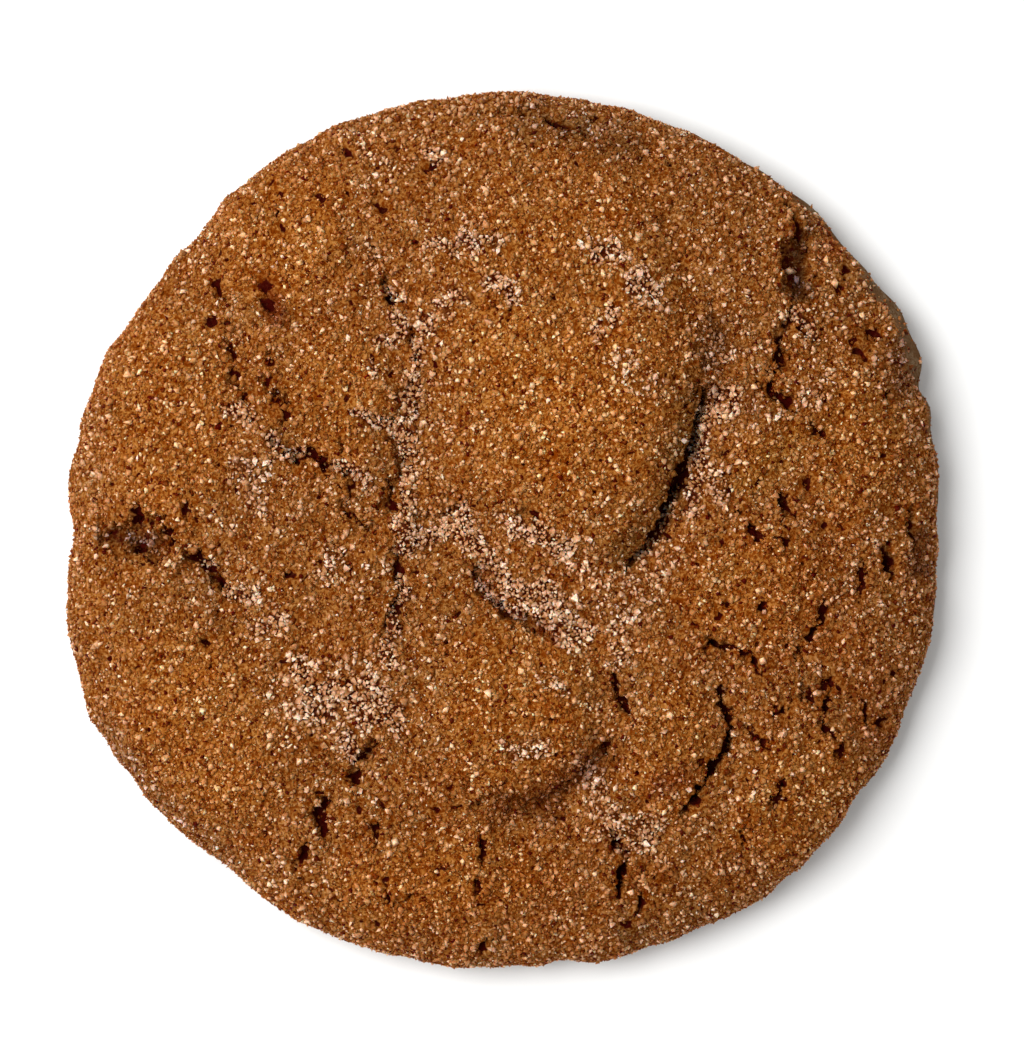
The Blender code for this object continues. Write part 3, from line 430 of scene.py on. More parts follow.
# How many grains of each kind, how long each is, how far its middle stands off the crust, its tone and how
# much that differs, how many are bright (pale crystals and painted glints), and how much painted shade
# darkens one deep in a crack and at its foot
Grains = namedtuple("Grains", "count size lift tone spread bright shaded rooted")
GOLDEN = Grains(24500, (0.42, 0.90), 0.0, 0.70, 0.20, 0.13, 0.45, 0.28)
AMBER = Grains(24500, (0.40, 0.80), -0.10, 0.46, 0.22, 0.02, 0.45, 0.24)
FINE = Grains(24500, (0.28, 0.48), 0.04, 0.58, 0.24, 0.03, 0.45, 0.30)
PALE = Grains(12500, (0.40, 0.92), 0.12, 0.93, 0.24, 0.38, 0.20, 0.66)
LARGE = Grains(len(CRYSTALS), (0.70, 1.10), 0.10, 1.02, 0.0, 0.0, 0.0, 0.25)
# Tones of the bright grains, pale crystals and painted glints, and the palest colour any grain may have
PALE_AND_GLINT_TONE, PALEST = (0.86, 1.0), 0.93

# Grains are smaller where the crust is steep, and the coat is thinner under drifts and in cracks
STEEP_SIZE, STEEP_FADE = 0.6, 1.6
LESS_IN_DRIFTS, DRIFTS_FADE = 0.8, 1.25
COAT_LESS_IN_CRACKS, PALE_LESS_IN_CRACKS, CRACKS_FADE = 0.9, 0.5, 2

# Pale grains keep a distance, lie in clumps, and are rare away from the drifts
PALE_SPACING = 0.27
CLUMPS, CLUMP_LEAST = Wave(0.9, 0.8, 35), 0.35
DRIFT_POWER, PALE_ANYWHERE = 2.5, 0.001

# The share of bright grains, which are partly pale crystals and partly painted glints, against the usual: on
# plain crust, near a drift, and per mm towards the right
SPARKLE_PLAIN, SPARKLE_NEAR, SPARKLE_SLOPE, SPARKLE_REACH = 0.74, 1.1, 0.014, 1.4

# Colours, in linear light. The tones run from the painted shade in the gaps between the grains to the palest
# sugar
TONES = (
    (0.00, (0.065, 0.0025, 0.0002)),
    (0.20, (0.150, 0.030, 0.0012)),
    (0.50, (0.314, 0.126, 0.0245)),
    (0.80, (0.520, 0.270, 0.120)),
    (1.00, (0.950, 0.660, 0.420)),
)
# Painted shade on the floors of cracks and holes: near black, and dark brown in patches
CRACK_SHADE_DARK, CRACK_SHADE_BROWN = (0.036, 0.0022, 0.0012), (0.056, 0.012, 0.0050)
PALE_TINT, CINNAMON_STAIN = (1.03, 1.06, 1.26), (0.78, 0.60, 0.46)
LIGHT_SPREAD = (1.0, 0.35, 0.15)
SIDE_TAN, SIDE_BROWN = (0.190, 0.122, 0.068), (0.120, 0.058, 0.024)
UNDERSIDE_BROWN = (0.140, 0.048, 0.014)
FLOOR_COLOUR, FLOOR_MOTTLE = (0.90, 0.90, 0.89), 0.985

# The photograph's view: its frame in pixels, the size of a pixel at the cookie and the cookie's middle
FRAME_WIDTH, FRAME_HEIGHT = 1024, 1059
PIXEL = 0.0977
COOKIE_AT = (503.0, 529.5)
CAMERA_DISTANCE = 650.0
SENSOR_WIDTH = 36.0

# The lamp's place and size in metres and its power, the light from all round, and half the floor's width
LAMP_PLACE, LAMP_SIZE, LAMP_POWER = (-0.46, 0.13, 0.68), 0.70, 10.0
WORLD_STRENGTH = 0.50
FLOOR_HALF = 1500.0


def smoothstep(value):
    value = np.clip(value, 0.0, 1.0)
    return value * value * (3 - 2 * value)


def field(points, size, seed):
    """Smooth noise of about -1 to 1 at each plan point, whose bumps are about size across."""
    return np.array([noise.noise((x / size, y / size, seed)) for x, y in points]) * NOISE_GAIN


def waves(points, kind):
    """Noise of one kind of wave at each plan point."""
    return kind.rise * field(points, kind.size, SEED + kind.seed)


def tone(values):
    """The colours at values from 0 to 1 along the row of tones."""
    stops, colours = zip(*TONES)
    return np.column_stack([np.interp(values, stops, channel) for channel in zip(*colours)])


def mixed(first, second, share):
    """Colours between two others, by a share for each."""
    return np.asarray(first) + (np.asarray(second) - first) * np.asarray(share)[:, None]


def directions(angle):
    """Unit vectors in plan, at angles in radians."""
    return np.column_stack((np.cos(angle), np.sin(angle)))


def around_rim(plan):
    """The angle of each plan point around the rim's centre, and its distance from there."""
    offset = plan - RIM_CENTRE
    return np.arctan2(offset[:, 1], offset[:, 0]), np.hypot(*offset.T)


# Outline and section of the cookie

def rim_radius(angle):
    """Distance from the rim's centre to the rim, at each angle in radians."""
    radius = np.full_like(angle, RIM_RADIUS)
    for bulge in RIM_BULGES:
        away = np.degrees(np.angle(np.exp(1j * (angle - math.radians(bulge.angle)))))
        radius += bulge.out * np.exp(-((away / bulge.spread) ** 2))
    return radius + waves(RIM_RADIUS * directions(angle), RIM_WOBBLE)


def section():
    """Reach as a share of the rim, height, and length run, from the top's middle to the foot."""
    reach = np.sin(np.linspace(0.0, math.pi / 2, TOP_STEPS))
    rise = DOME_HEIGHT - WIDEST_HEIGHT
    height = WIDEST_HEIGHT + rise * (1 - reach**DOME_FLATNESS) ** DOME_ROUNDING
    turn = np.linspace(0.0, FOOT_TURN, SIDE_STEPS)[1:]
    drawn_in = FOOT_INSET / RIM_RADIUS * (1 - np.cos(turn)) / (1 - math.cos(FOOT_TURN))
    reach = np.concatenate((reach, 1 - drawn_in))
    height = np.concatenate((height, WIDEST_HEIGHT * (1 - np.sin(turn) / math.sin(FOOT_TURN))))
    steps = np.hypot(RIM_RADIUS * np.diff(reach), np.diff(height))
    return reach, height, np.concatenate(([0.0], np.cumsum(steps)))


REACH, HEIGHT, RUN = section()
TOP_ENDS = REACH.argmax() + 1
RIM_RUN = RUN[TOP_ENDS - 1]
FLAT_RADIUS = RUN[-1]
SHOULDER_RUN = SHOULDER * RIM_RUN


def unrolled(plan):
    """Plan points on the top, laid out flat by their distance along the section."""
    angle, away = around_rim(plan)
    run = np.interp(away / rim_radius(angle), REACH[:TOP_ENDS], RUN[:TOP_ENDS])
    return run[:, None] * directions(angle)


def rolled(flat):
    """The plain dome's points and outward normals for points that were laid out flat."""
    angle, run = np.arctan2(flat[:, 1], flat[:, 0]), np.hypot(*flat.T)
    around = directions(angle)
    radius = np.interp(run, RUN, REACH) * rim_radius(angle)
    outward = np.interp(run, RUN, np.gradient(REACH * RIM_RADIUS, RUN))
    upward = np.interp(run, RUN, np.gradient(HEIGHT, RUN))
    points = np.column_stack((radius[:, None] * around + RIM_CENTRE, np.interp(run, RUN, HEIGHT)))
    normals = np.column_stack((-upward[:, None] * around, outward))
    return points, normals / np.linalg.norm(normals, axis=1)[:, None]


# Paths of cracks, drifts and zones

def crack_path(crack):
    """A smooth line through a crack's points that wanders a little, as torn dough does."""
    corners = np.array(crack.path)
    ends = 2 * corners[0] - corners[1], 2 * corners[-1] - corners[-2]
    corners = np.vstack((ends[0], corners, ends[1]))
    places = []
    for before, start, end, after in zip(corners, corners[1:], corners[2:], corners[3:]):
        count = max(1, round(math.dist(start, end) / CRACK_STEP))
        for t in np.arange(count) / count:
            bend = 2 * before - 5 * start + 4 * end - after
            swing = 3 * start - before - 3 * end + after
            places.append(start + 0.5 * t * (end - before + t * (bend + t * swing)))
    places = np.array(places + [corners[-2]])
    wander = np.column_stack([field(places, WANDER_SIZE, SEED + shift) for shift in (3, 7)])
    return places + WANDER * crack.width**0.5 * 0.5 * wander


def nearest_on_path(points, path):
    """Distance from each point to a path, and the share of the path's length at the nearest place."""
    steps = np.diff(path, axis=0)
    lengths = np.hypot(*steps.T)
    offsets = points[:, None] - path[None, :-1]
    share = np.clip((offsets * steps).sum(axis=2) / lengths**2, 0.0, 1.0)
    gaps = np.linalg.norm(offsets - share[..., None] * steps, axis=2)
    rows, nearest = np.arange(len(points)), gaps.argmin(axis=1)
    run = np.concatenate(([0.0], np.cumsum(lengths)))
    along = (run[nearest] + share[rows, nearest] * lengths[nearest]) / run[-1]
    return gaps[rows, nearest], along


def around_path(plan, path, margin):
    """Which of the points lie within a margin of a path's box."""
    low, high = path.min(axis=0) - margin, path.max(axis=0) + margin
    return np.flatnonzero(((plan > low) & (plan < high)).all(axis=1))


def by_path(plan, path, radius):
    """Which points may be within a radius of a path or one place, and their distances as shares of it."""
    path = np.array(path)
    near = around_path(plan, path, radius * RAGGED_MARGIN)
    if len(path) == 1:
        return near, np.linalg.norm(plan[near] - path[0], axis=1) / radius
    return near, nearest_on_path(plan[near], path)[0] / radius


def taper(along):
    """How open a crack is along its length, closing at both ends."""
    return np.clip(np.sin(math.pi * np.clip(along, 0.0, 1.0)), 0.0, 1.0) ** CRACK_TAPER


# Relief of the crust. The inside of a crack or hole is darkened with painted shade, and few grains lie where
# it is "gaping"

Relief = namedtuple("Relief", "rise slide sunk gaping")


def lobe_rise(plan, lobe):
    """How far a plate lifts each plan point."""
    turn = math.radians(lobe.turn)
    offset = plan - lobe.at
    across = (offset[:, 0] * math.cos(turn) + offset[:, 1] * math.sin(turn)) / lobe.half_size[0]
    along = (offset[:, 1] * math.cos(turn) - offset[:, 0] * math.sin(turn)) / lobe.half_size[1]
    away = np.hypot(across, along) + waves(plan, LOBE_WAVES)
    return lobe.rise * (1 - np.clip(away, 0.0, 1.0) ** LOBE_FLATNESS) ** LOBE_ROUNDING


def pinholes():
    """Pores in the crust, a few of them on every stretch of it."""
    draws = np.random.default_rng(SEED + 1)
    found = []
    for _ in range(PINHOLES):
        angle = draws.uniform(0, 2 * math.pi)
        reach = PINHOLES_WITHIN * RIM_RADIUS * math.sqrt(draws.uniform())
        place = (reach * math.cos(angle), reach * math.sin(angle))
        found.append(Pit(place, draws.uniform(*PINHOLE_RADIUS), draws.uniform(*PINHOLE_DEPTH)))
    return found


def plain_relief(plan):
    """The crust's own unevenness, without its cracks and holes."""
    rise = waves(plan, SWELLS) + waves(plan, CRUMBS)
    rise += waves(plan, GRIT) + waves(plan, SPECKS)
    rise += sum(lobe_rise(plan, lobe) for lobe in LOBES)
    for drift in DRIFTS:
        near, away = by_path(plan, drift.path, drift.radius)
        rise[near] += drift.rise * (1 - smoothstep(away))
    return rise


def jogs(plan):
    """A small shift for each plan point, which tears the edges of whatever is drawn by the shifted points."""
    shifts = [field(plan, JOG_SIZE, SEED + 31 + axis) + 0.5 * field(plan, JOG_SIZE / 2, SEED + 33 + axis)
              for axis in (0, 1)]
    return JOG * np.column_stack(shifts)


def sink_crack(relief, crack, path, plan, torn):
    """Cuts a crack into the relief, with the trough that it lies in and the lips at its edges."""
    near = around_path(plan, path, TROUGH_MARGIN if crack.sag else CRACK_MARGIN)
    gap, along = nearest_on_path(plan[near] + crack.torn * (torn - plan)[near], path)
    open_share = taper(along)
    ragged = crack.torn * RAGGED * field(torn[near], RAGGED_SIZE, SEED + 23)
    half = np.maximum(crack.width / 2 * (np.clip(1 + ragged, 0.0, RAGGED_WIDEST) * open_share), 1e-6)
    opening = 1 - np.clip(gap / half, 0.0, 1.0) ** CRACK_WALL
    relief.rise[near] -= TROUGH_DEEPER * crack.sag * open_share * np.exp(-((gap / TROUGH_WIDTH) ** 2))
    relief.rise[near] += LIP_RISE * (opening == 0) * np.exp(-(((gap - half) / LIP_WIDTH) ** 2))
    relief.rise[near] -= (crack.depth - waves(plan[near], CRACK_FLOOR)) * open_share * opening
    relief.slide[near] += (opening * open_share)[:, None] * crack.lean
    patches = smoothstep(0.5 + field(plan[near], PATCH_SIZE, SEED + 41))
    # Painted shade inside the crack, paler in patches where its edges are torn
    dark = crack.dark * (1 - PATCH_PALER * crack.torn * patches) * open_share
    relief.sunk[near] = np.maximum(relief.sunk[near], dark * opening)
    clear = smoothstep(1 - (gap - half) / GRAIN_CLEARANCE)
    relief.gaping[near] = np.maximum(relief.gaping[near], clear * smoothstep(half / HAIRLINE) * dark)


def sink_pit(relief, pit, torn):
    """Presses a small hole into the relief, with painted shade inside it."""
    near = np.flatnonzero((np.abs(torn - pit.at) < pit.radius + GRAIN_CLEARANCE).all(axis=1))
    away = np.linalg.norm(torn[near] - pit.at, axis=1)
    inside = 1 - smoothstep(away / pit.radius)
    dark = min(1.0, PIT_SHADE * pit.depth)
    relief.rise[near] -= pit.depth * inside
    relief.sunk[near] = np.maximum(relief.sunk[near], dark * inside)
    clear = 1 - smoothstep(away / pit.radius - PIT_CLEAR_SHARE) * smoothstep(away / PIT_CLEAR)
    relief.gaping[near] = np.maximum(relief.gaping[near], dark * clear)


def crust_relief(plan, cracks, pits):
    """How far the crust stands off the plain dome and how far each point slides sideways, then how dark the
    painted shade on it is in a crack or hole and how near to one it is, both from 0 to 1."""
    relief = Relief(plain_relief(plan), np.zeros((len(plan), 2)), *np.zeros((2, len(plan))))
    torn = plan + jogs(plan)
    for crack, path in cracks:
        sink_crack(relief, crack, path, plan, torn)
    for pit in pits:
        sink_pit(relief, pit, torn)
    return relief


def side_relief(flat, height):
    """The side's unevenness, whose wrinkles run along it."""
    along_rim = np.arctan2(flat[:, 1], flat[:, 0]) * RIM_RADIUS / WRINKLE_STRETCH
    return waves(flat, SIDE_CRUMBS) + waves(np.column_stack((along_rim, height)), SIDE_WRINKLES)


def crust_points(flat, cracks, pits):
    """The finished surface for points laid out flat, the painted shade on each in a crack or hole, and how
    near to one it is.
    """
    points, normals = rolled(flat)
    relief = crust_relief(points[:, :2], cracks, pits)
    side = side_relief(flat, points[:, 2])
    on_top = smoothstep((points[:, 2] - WIDEST_HEIGHT) / EDGE_FADE) * (np.hypot(*flat.T) < RIM_RUN)
    off_foot = smoothstep(points[:, 2] / WIDEST_HEIGHT)
    points += normals * (on_top * relief.rise + (1 - on_top) * off_foot * side)[:, None]
    points[:, :2] += on_top[:, None] * relief.slide
    return points, on_top * relief.sunk, on_top * relief.gaping


# The crust's mesh

Crust = namedtuple("Crust", "points faces normals flat sunk gaping sugared drifted")


def lattice(radius, spacing, draws):
    """Points on a triangular grid over a disc, each moved a little."""
    row_height = spacing * math.sqrt(3) / 2
    rows = math.ceil(radius / row_height)
    across, along = np.meshgrid(np.arange(-rows, rows + 1), np.arange(-rows, rows + 1))
    points = np.column_stack((across.ravel() * spacing + spacing / 2 * (along.ravel() % 2),
                              along.ravel() * row_height))
    points += draws.uniform(-1, 1, points.shape) * SPACING_JITTER * spacing
    return points[np.hypot(*points.T) < radius]


def fine_reach(crack):
    """How far from a crack's path the close-set points go."""
    return FINE_WIDTH * crack.width + JOG


def crack_points(cracks, draws):
    """Close-set plan points over the cracks."""
    found = []
    for crack, path in cracks:
        reach = fine_reach(crack)
        grid = lattice(np.ptp(path, axis=0).max() / 2 + reach, CRACK_SPACING, draws)
        grid += (path.min(axis=0) + path.max(axis=0)) / 2
        found.append(grid[nearest_on_path(grid, path)[0] < reach])
    return np.vstack(found)


def clear_of_cracks(plan, cracks):
    """Whether each plan point is outside the cracks' close-set points."""
    clear = np.ones(len(plan), bool)
    for crack, path in cracks:
        reach = fine_reach(crack) + KEPT_OFF * CRACK_SPACING
        near = around_path(plan, path, reach)
        clear[near] &= nearest_on_path(plan[near], path)[0] > reach
    return clear


def crust_flat_points(cracks, draws):
    """Every point of the crust, laid out flat, with the foot's ring first, and how many the ring has."""
    count = round(2 * math.pi * FLAT_RADIUS / SIDE_SPACING)
    foot = FLAT_RADIUS * directions(np.arange(count) * 2 * math.pi / count)
    side = lattice(FLAT_RADIUS - KEPT_OFF * SIDE_SPACING, SIDE_SPACING, draws)
    side = side[np.hypot(*side.T) > SHOULDER_RUN]
    top = lattice(SHOULDER_RUN, TOP_SPACING, draws)
    top = top[clear_of_cracks(rolled(top)[0][:, :2], cracks)]
    side = side[clear_of_cracks(rolled(side)[0][:, :2], cracks) | (np.hypot(*side.T) > RIM_RUN)]
    return np.vstack((foot, side, top, unrolled(crack_points(cracks, draws)))), count


def crust_faces(flat, ring_count):
    """Triangles over points that were laid out flat. Points that fall together are made one."""
    edges = [(i, (i + 1) % ring_count) for i in range(ring_count)]
    places, _, faces, origins, _, _ = delaunay_2d_cdt([Vector(point) for point in flat], edges, [], 1, WELD)
    ring = np.zeros(ring_count, int)
    for place, came in enumerate(origins):
        for number in came:
            if number < ring_count:
                ring[number] = place
    return np.array([tuple(place) for place in places]), np.array(faces), ring


def ring_reach(ring):
    """A ring's angles in rising order, and how far it reaches from the rim's centre at each."""
    angle, reach = around_rim(ring)
    order = angle.argsort()
    return angle[order], reach[order]


def underside(foot, draws):
    """The flat base inside the foot's ring, with shallow hollows where it stood off the tray."""
    inside = lattice(RIM_RADIUS, BASE_SPACING, draws) + RIM_CENTRE
    angle, away = around_rim(inside)
    inside = inside[away < np.interp(angle, *ring_reach(foot)) - BASE_KEPT_OFF * BASE_SPACING]
    places, faces, ring = crust_faces(np.vstack((foot, inside)), len(foot))
    hollow = np.clip(waves(places, BASE_HOLLOWS), 0.0, BASE_HOLLOWS.rise)
    hollow[ring] = 0.0
    return np.column_stack((places, hollow)), faces[:, ::-1], ring


def face_crosses(points, faces):
    """A vector square to each triangle, twice as long as the triangle is large."""
    corners = points[faces]
    return np.cross(corners[:, 1] - corners[:, 0], corners[:, 2] - corners[:, 0])


def vertex_normals(points, faces):
    across = face_crosses(points, faces)
    normals = np.zeros_like(points)
    for corner in range(3):
        np.add.at(normals, faces[:, corner], across)
    return normals / np.linalg.norm(normals, axis=1)[:, None]


def sugar_reach(points):
    """How much of the sugar coat a point of the crust holds, by its height on the side and where it faces."""
    angle = np.degrees(around_rim(points[:, :2])[0])
    lowest = BARE_BELOW + sum(bare.height * np.exp(-(((angle - bare.angle) / bare.spread) ** 2))
                              for bare in BARE_RISES)
    along_side = np.column_stack((angle * RIM_PER_DEGREE, points[:, 2]))
    lowest += waves(along_side, BARE_WAVES) + waves(along_side, BARE_RIPPLES)
    return smoothstep((points[:, 2] - lowest) / BARE_FADE + 0.5)


def make_crust(draws):
    """The crust's top and side, and the numbers of the points in its foot's ring."""
    cracks = [(crack, crack_path(crack)) for crack in CRACKS + SMALL_CRACKS]
    flat, ring_count = crust_flat_points(cracks, draws)
    flat, faces, ring = crust_faces(flat, ring_count)
    points, sunk, gaping = crust_points(flat, cracks, PITS + pinholes())
    points[ring, 2] = 0.0
    crust = Crust(points, faces, vertex_normals(points, faces), flat, sunk, gaping, sugar_reach(points),
                  drift_amount(points[:, :2]))
    return crust, ring


# Colours by place

def shaded_by_drifts(drifted):
    """Painted shade: the crust is darker under and between the pale grains."""
    return mixed((1.0, 1.0, 1.0), GAP_SHADE_TINT, smoothstep(GAP_STRENGTH * drifted**GAP_POWER))


def zone_tint(plan):
    """What the crust's and the sugar's colours are multiplied by at each plan point: their own patches and
    hue, and painted shade where zones darken banks, valleys, holes and trenches.
    """
    tint = np.ones((len(plan), 3))
    ragged = waves(plan, ZONE_WAVES) + waves(plan, ZONE_RIPPLES)
    for zone in ZONES:
        near, away = by_path(plan, zone.path, zone.radius)
        tint[near] *= mixed((1.0, 1.0, 1.0), zone.tint, 1 - smoothstep(away + ragged[near]))
    warmth = field(plan, WARMTH_SIZE, SEED + 29)[:, None] * WARMTH_LEAN
    hue = field(plan, HUE_SIZE, SEED + 40)[:, None] * HUE_LEAN
    return tint * (1 + warmth) * (1 + hue)


def plate_tint_and_valley_shade(plan):
    """The plates are a little more golden than the valleys between them, which are a little darker as painted
    shade.
    """
    on_plate = np.max([lobe_rise(plan, lobe) / lobe.rise for lobe in LOBES], axis=0)
    return mixed(VALLEY_SHADE_TINT, PLATE_TINT, on_plate)


def drift_amount(plan):
    """How much pale sugar gathered at each plan point, from 0 to 1."""
    ragged = waves(plan, DRIFT_EDGE)
    amount = np.zeros(len(plan))
    for drift in DRIFTS:
        near, away = by_path(plan, drift.path, drift.radius)
        inside = smoothstep((DRIFT_OUT - away + ragged[near]) / DRIFT_FADE)
        amount[near] = np.maximum(amount[near], drift.amount * inside)
    return amount


# Mesh helpers

def make_object(name, points, faces, material):
    """A mesh object from points in millimetres."""
    mesh = bpy.data.meshes.new(name)
    mesh.from_pydata((points * MM).tolist(), [], faces.tolist())
    mesh.materials.append(material)
    made = bpy.data.objects.new(name, mesh)
    bpy.context.scene.collection.objects.link(made)
    return made


def add_values(mesh, name, values):
    mesh.attributes.new(name, "FLOAT", "POINT").data.foreach_set("value", np.asarray(values, float))


def add_colours(mesh, name, colours):
    rows = np.column_stack((colours, np.ones(len(colours))))
    mesh.attributes.new(name, "FLOAT_COLOR", "POINT").data.foreach_set("color", rows.ravel())


def add_map(mesh, corners):
    """Gives a mesh its own flat layout, one pair of numbers for each face corner."""
    mesh.uv_layers.new(name="OFBake").data.foreach_set("uv", np.asarray(corners, float).ravel())


# Body. In its flat layout the top and side make one disc and the underside a smaller one

TOP_DISC, BASE_DISC, DISC_MARGIN = 0.43, 0.14, 0.005


def make_body(crust, ring, draws):
    """The whole crust as one closed mesh: top, side and underside."""
    base, base_faces, base_ring = underside(crust.points[ring, :2], draws)
    place_of = np.arange(len(base)) + len(crust.points)
    place_of[base_ring] = ring
    points = np.vstack((crust.points, base))
    used, faces = np.unique(np.vstack((crust.faces, place_of[base_faces])), return_inverse=True)
    body = make_object("crust", points[used], faces.reshape(-1, 3), dough_material())
    mesh = body.data
    mesh.shade_smooth()
    blank = np.zeros(len(base))
    # The painted shade of the cracks and holes, and how much sugar each point holds
    for name, values in (("sunk", crust.sunk), ("sugared", crust.sugared)):
        add_values(mesh, name, np.concatenate((values, blank))[used])
    add_values(mesh, "underside", used >= len(crust.points))
    drifted = np.concatenate((crust.drifted, blank))
    plan = points[:, :2]
    # Zone colours: the crust's own patches, with painted shade in valleys, cracks and under the pale grains
    add_colours(mesh, "zone", (zone_tint(plan) * plate_tint_and_valley_shade(plan) * shaded_by_drifts(drifted))[used])
    top_map = TOP_DISC + crust.flat[crust.faces] / FLAT_RADIUS * (TOP_DISC - DISC_MARGIN)
    from_middle = (base[base_faces][:, :, :2] - RIM_CENTRE) / RIM_RADIUS
    add_map(mesh, np.vstack((top_map, 1 - BASE_DISC + from_middle * (BASE_DISC - DISC_MARGIN))))
    return body


# Sugar

Places = namedtuple("Places", "points normals sunk drifted")


def scattered(crust, count, weights, draws):
    """Random places on the crust, more of them where the weights are high."""
    areas = np.linalg.norm(face_crosses(crust.points, crust.faces), axis=1)
    chances = areas * weights[crust.faces].mean(axis=1)
    picked = crust.faces[draws.choice(len(areas), count, p=chances / chances.sum())]
    shares = draws.dirichlet((1, 1, 1), count)[..., None]
    points, normals = ((values[picked] * shares).sum(axis=1) for values in (crust.points, crust.normals))
    sunk, drifted = ((values[picked] * shares[..., 0]).sum(axis=1) for values in (crust.sunk, crust.drifted))
    return Places(points, normals / np.linalg.norm(normals, axis=1)[:, None], sunk, drifted)


def tree_of(points):
    """A search tree over the points."""
    tree = KDTree(len(points))
    for index, point in enumerate(points):
        tree.insert(point, index)
    tree.balance()
    return tree


def places_at(crust, plan):
    """The crust's points nearest to given plan points."""
    tree = tree_of(crust.points * (1, 1, 0))
    picked = [tree.find((x, y, 0.0))[1] for x, y in plan]
    return Places(crust.points[picked], crust.normals[picked], crust.sunk[picked], crust.drifted[picked])


def thinned(places, spacing):
    """The places of which no two are closer than the spacing."""
    tree = tree_of(places.points)
    dropped = np.zeros(len(places.points), bool)
    for index, point in enumerate(places.points):
        if not dropped[index]:
            close = np.array([other for _, other, _ in tree.find_range(point, spacing)])
            dropped[close[close > index]] = True
    return Places(*(values[~dropped] for values in places))


def turns(count, draws):
    """Random rotation matrices."""
    quaternions = draws.normal(size=(4, count))
    w, x, y, z = quaternions / np.linalg.norm(quaternions, axis=0)
    return np.array(((1 - 2 * (y * y + z * z), 2 * (x * y - z * w), 2 * (x * z + y * w)),
                     (2 * (x * y + z * w), 1 - 2 * (x * x + z * z), 2 * (y * z - x * w)),
                     (2 * (x * z - y * w), 2 * (y * z + x * w), 1 - 2 * (x * x + y * y)))).transpose(2, 0, 1)


def grain_map(count):
    """A layout with a square cell for each grain, and in it a corner of its own for each triangle."""
    side = math.ceil(math.sqrt(count))
    number = np.arange(count)
    cells = np.column_stack((number % side, number // side))
    slots = np.array([(k % 4, k // 4) for k in range(len(GRAIN_FACES))])
    near, far = CELL_MARGIN, 1 - CELL_MARGIN
    triangle = np.array(((near, near), (far, near), (near, far)))
    spots = (slots[:, None] + triangle) / (4, 2)
    return (cells[:, None, None] + spots) / side


def make_grains(name, places, colours_at, kind, draws):
    """One joined mesh of grains, each set into the crust at its place, with painted shade darker towards its
    foot.
    """
    count = len(places.points)
    smallest, largest = kind.size
    sizes = smallest + (largest - smallest) * draws.uniform(size=count) ** SMALL_GRAINS
    sizes *= STEEP_SIZE + (1 - STEEP_SIZE) * smoothstep(STEEP_FADE * places.normals[:, 2])
    worn = 1 + draws.uniform(*GRAIN_WEAR, (count, len(GRAIN_CORNERS), 1))
    corners = GRAIN_CORNERS * draws.uniform(*GRAIN_WIDTHS, (count, 1, 3)) * worn
    corners = np.einsum("nij,nkj->nki", turns(count, draws), corners) * sizes[:, None, None]
    corners += (places.normals * (kind.lift * sizes)[:, None])[:, None]
    # Painted shade: each grain darker towards its foot, where it meets the crust and its neighbours
    up = smoothstep((corners * places.normals[:, None]).sum(axis=2) / (0.5 * sizes)[:, None])
    colours = colours_at(kind.rooted * (1 - up))
    corners += places.points[:, None]
    above = corners[:, :, 2].min(axis=1) > 0
    corners, colours = corners[above], colours[above]
    faces = GRAIN_FACES + len(GRAIN_CORNERS) * np.arange(len(corners))[:, None, None]
    grains = make_object(name, corners.reshape(-1, 3), faces.reshape(-1, 3), sugar_material(name))
    grains.data.shade_smooth()
    add_colours(grains.data, "tint", colours.reshape(-1, 3))
    add_map(grains.data, grain_map(len(corners)))
    return grains


def sparkle(plan):
    """How many of the grains are bright, as pale crystals and painted glints, at each plan point, against the
    usual share.
    """
    near_drift = np.zeros(len(plan))
    for drift in DRIFTS:
        near, away = by_path(plan, drift.path, drift.radius + SPARKLE_REACH)
        near_drift[near] = np.maximum(near_drift[near], drift.amount * (1 - smoothstep(away)))
    return SPARKLE_PLAIN + SPARKLE_NEAR * near_drift + SPARKLE_SLOPE * plan[:, 0]


def grain_colours(places, kind, draws, tint=(1.0, 1.0, 1.0)):
    """A function that colours the grains' corners, by how much painted shade darkens each below its grain's
    tone.
    """
    plan = places.points[:, :2]
    tones = draws.normal(kind.tone, kind.spread, len(plan))
    # Bright grains are partly pale crystals and partly painted glints
    bright = draws.uniform(size=len(plan)) < kind.bright * sparkle(plan)
    # Grains deep in a crack are darkened with painted shade
    tones = np.where(bright, draws.uniform(*PALE_AND_GLINT_TONE, len(plan)), tones) - kind.shaded * places.sunk
    tints = zone_tint(plan) * tint

    def colours_at(darker):
        colours = tone((tones[:, None] - darker).ravel()).reshape(*darker.shape, 3)
        return np.clip(colours * tints[:, None], 0.0, PALEST)

    return colours_at


def make_coat(crust, draws):
    """The cinnamon sugar that the dough was rolled in: golden, amber and fine grains."""
    off_drifts = 1 - LESS_IN_DRIFTS * smoothstep(DRIFTS_FADE * crust.drifted**2)
    off_cracks = 1 - COAT_LESS_IN_CRACKS * smoothstep(CRACKS_FADE * crust.gaping)
    weights = (BARE_GRAINS + (1 - BARE_GRAINS) * crust.sugared) * off_drifts * off_cracks
    made = []
    for name, kind in (("golden_sugar", GOLDEN), ("amber_sugar", AMBER), ("fine_sugar", FINE)):
        places = scattered(crust, kind.count, weights, draws)
        colours_at = grain_colours(places, kind, draws, plate_tint_and_valley_shade(places.points[:, :2]))
        made.append(make_grains(name, places, colours_at, kind, draws))
    return made


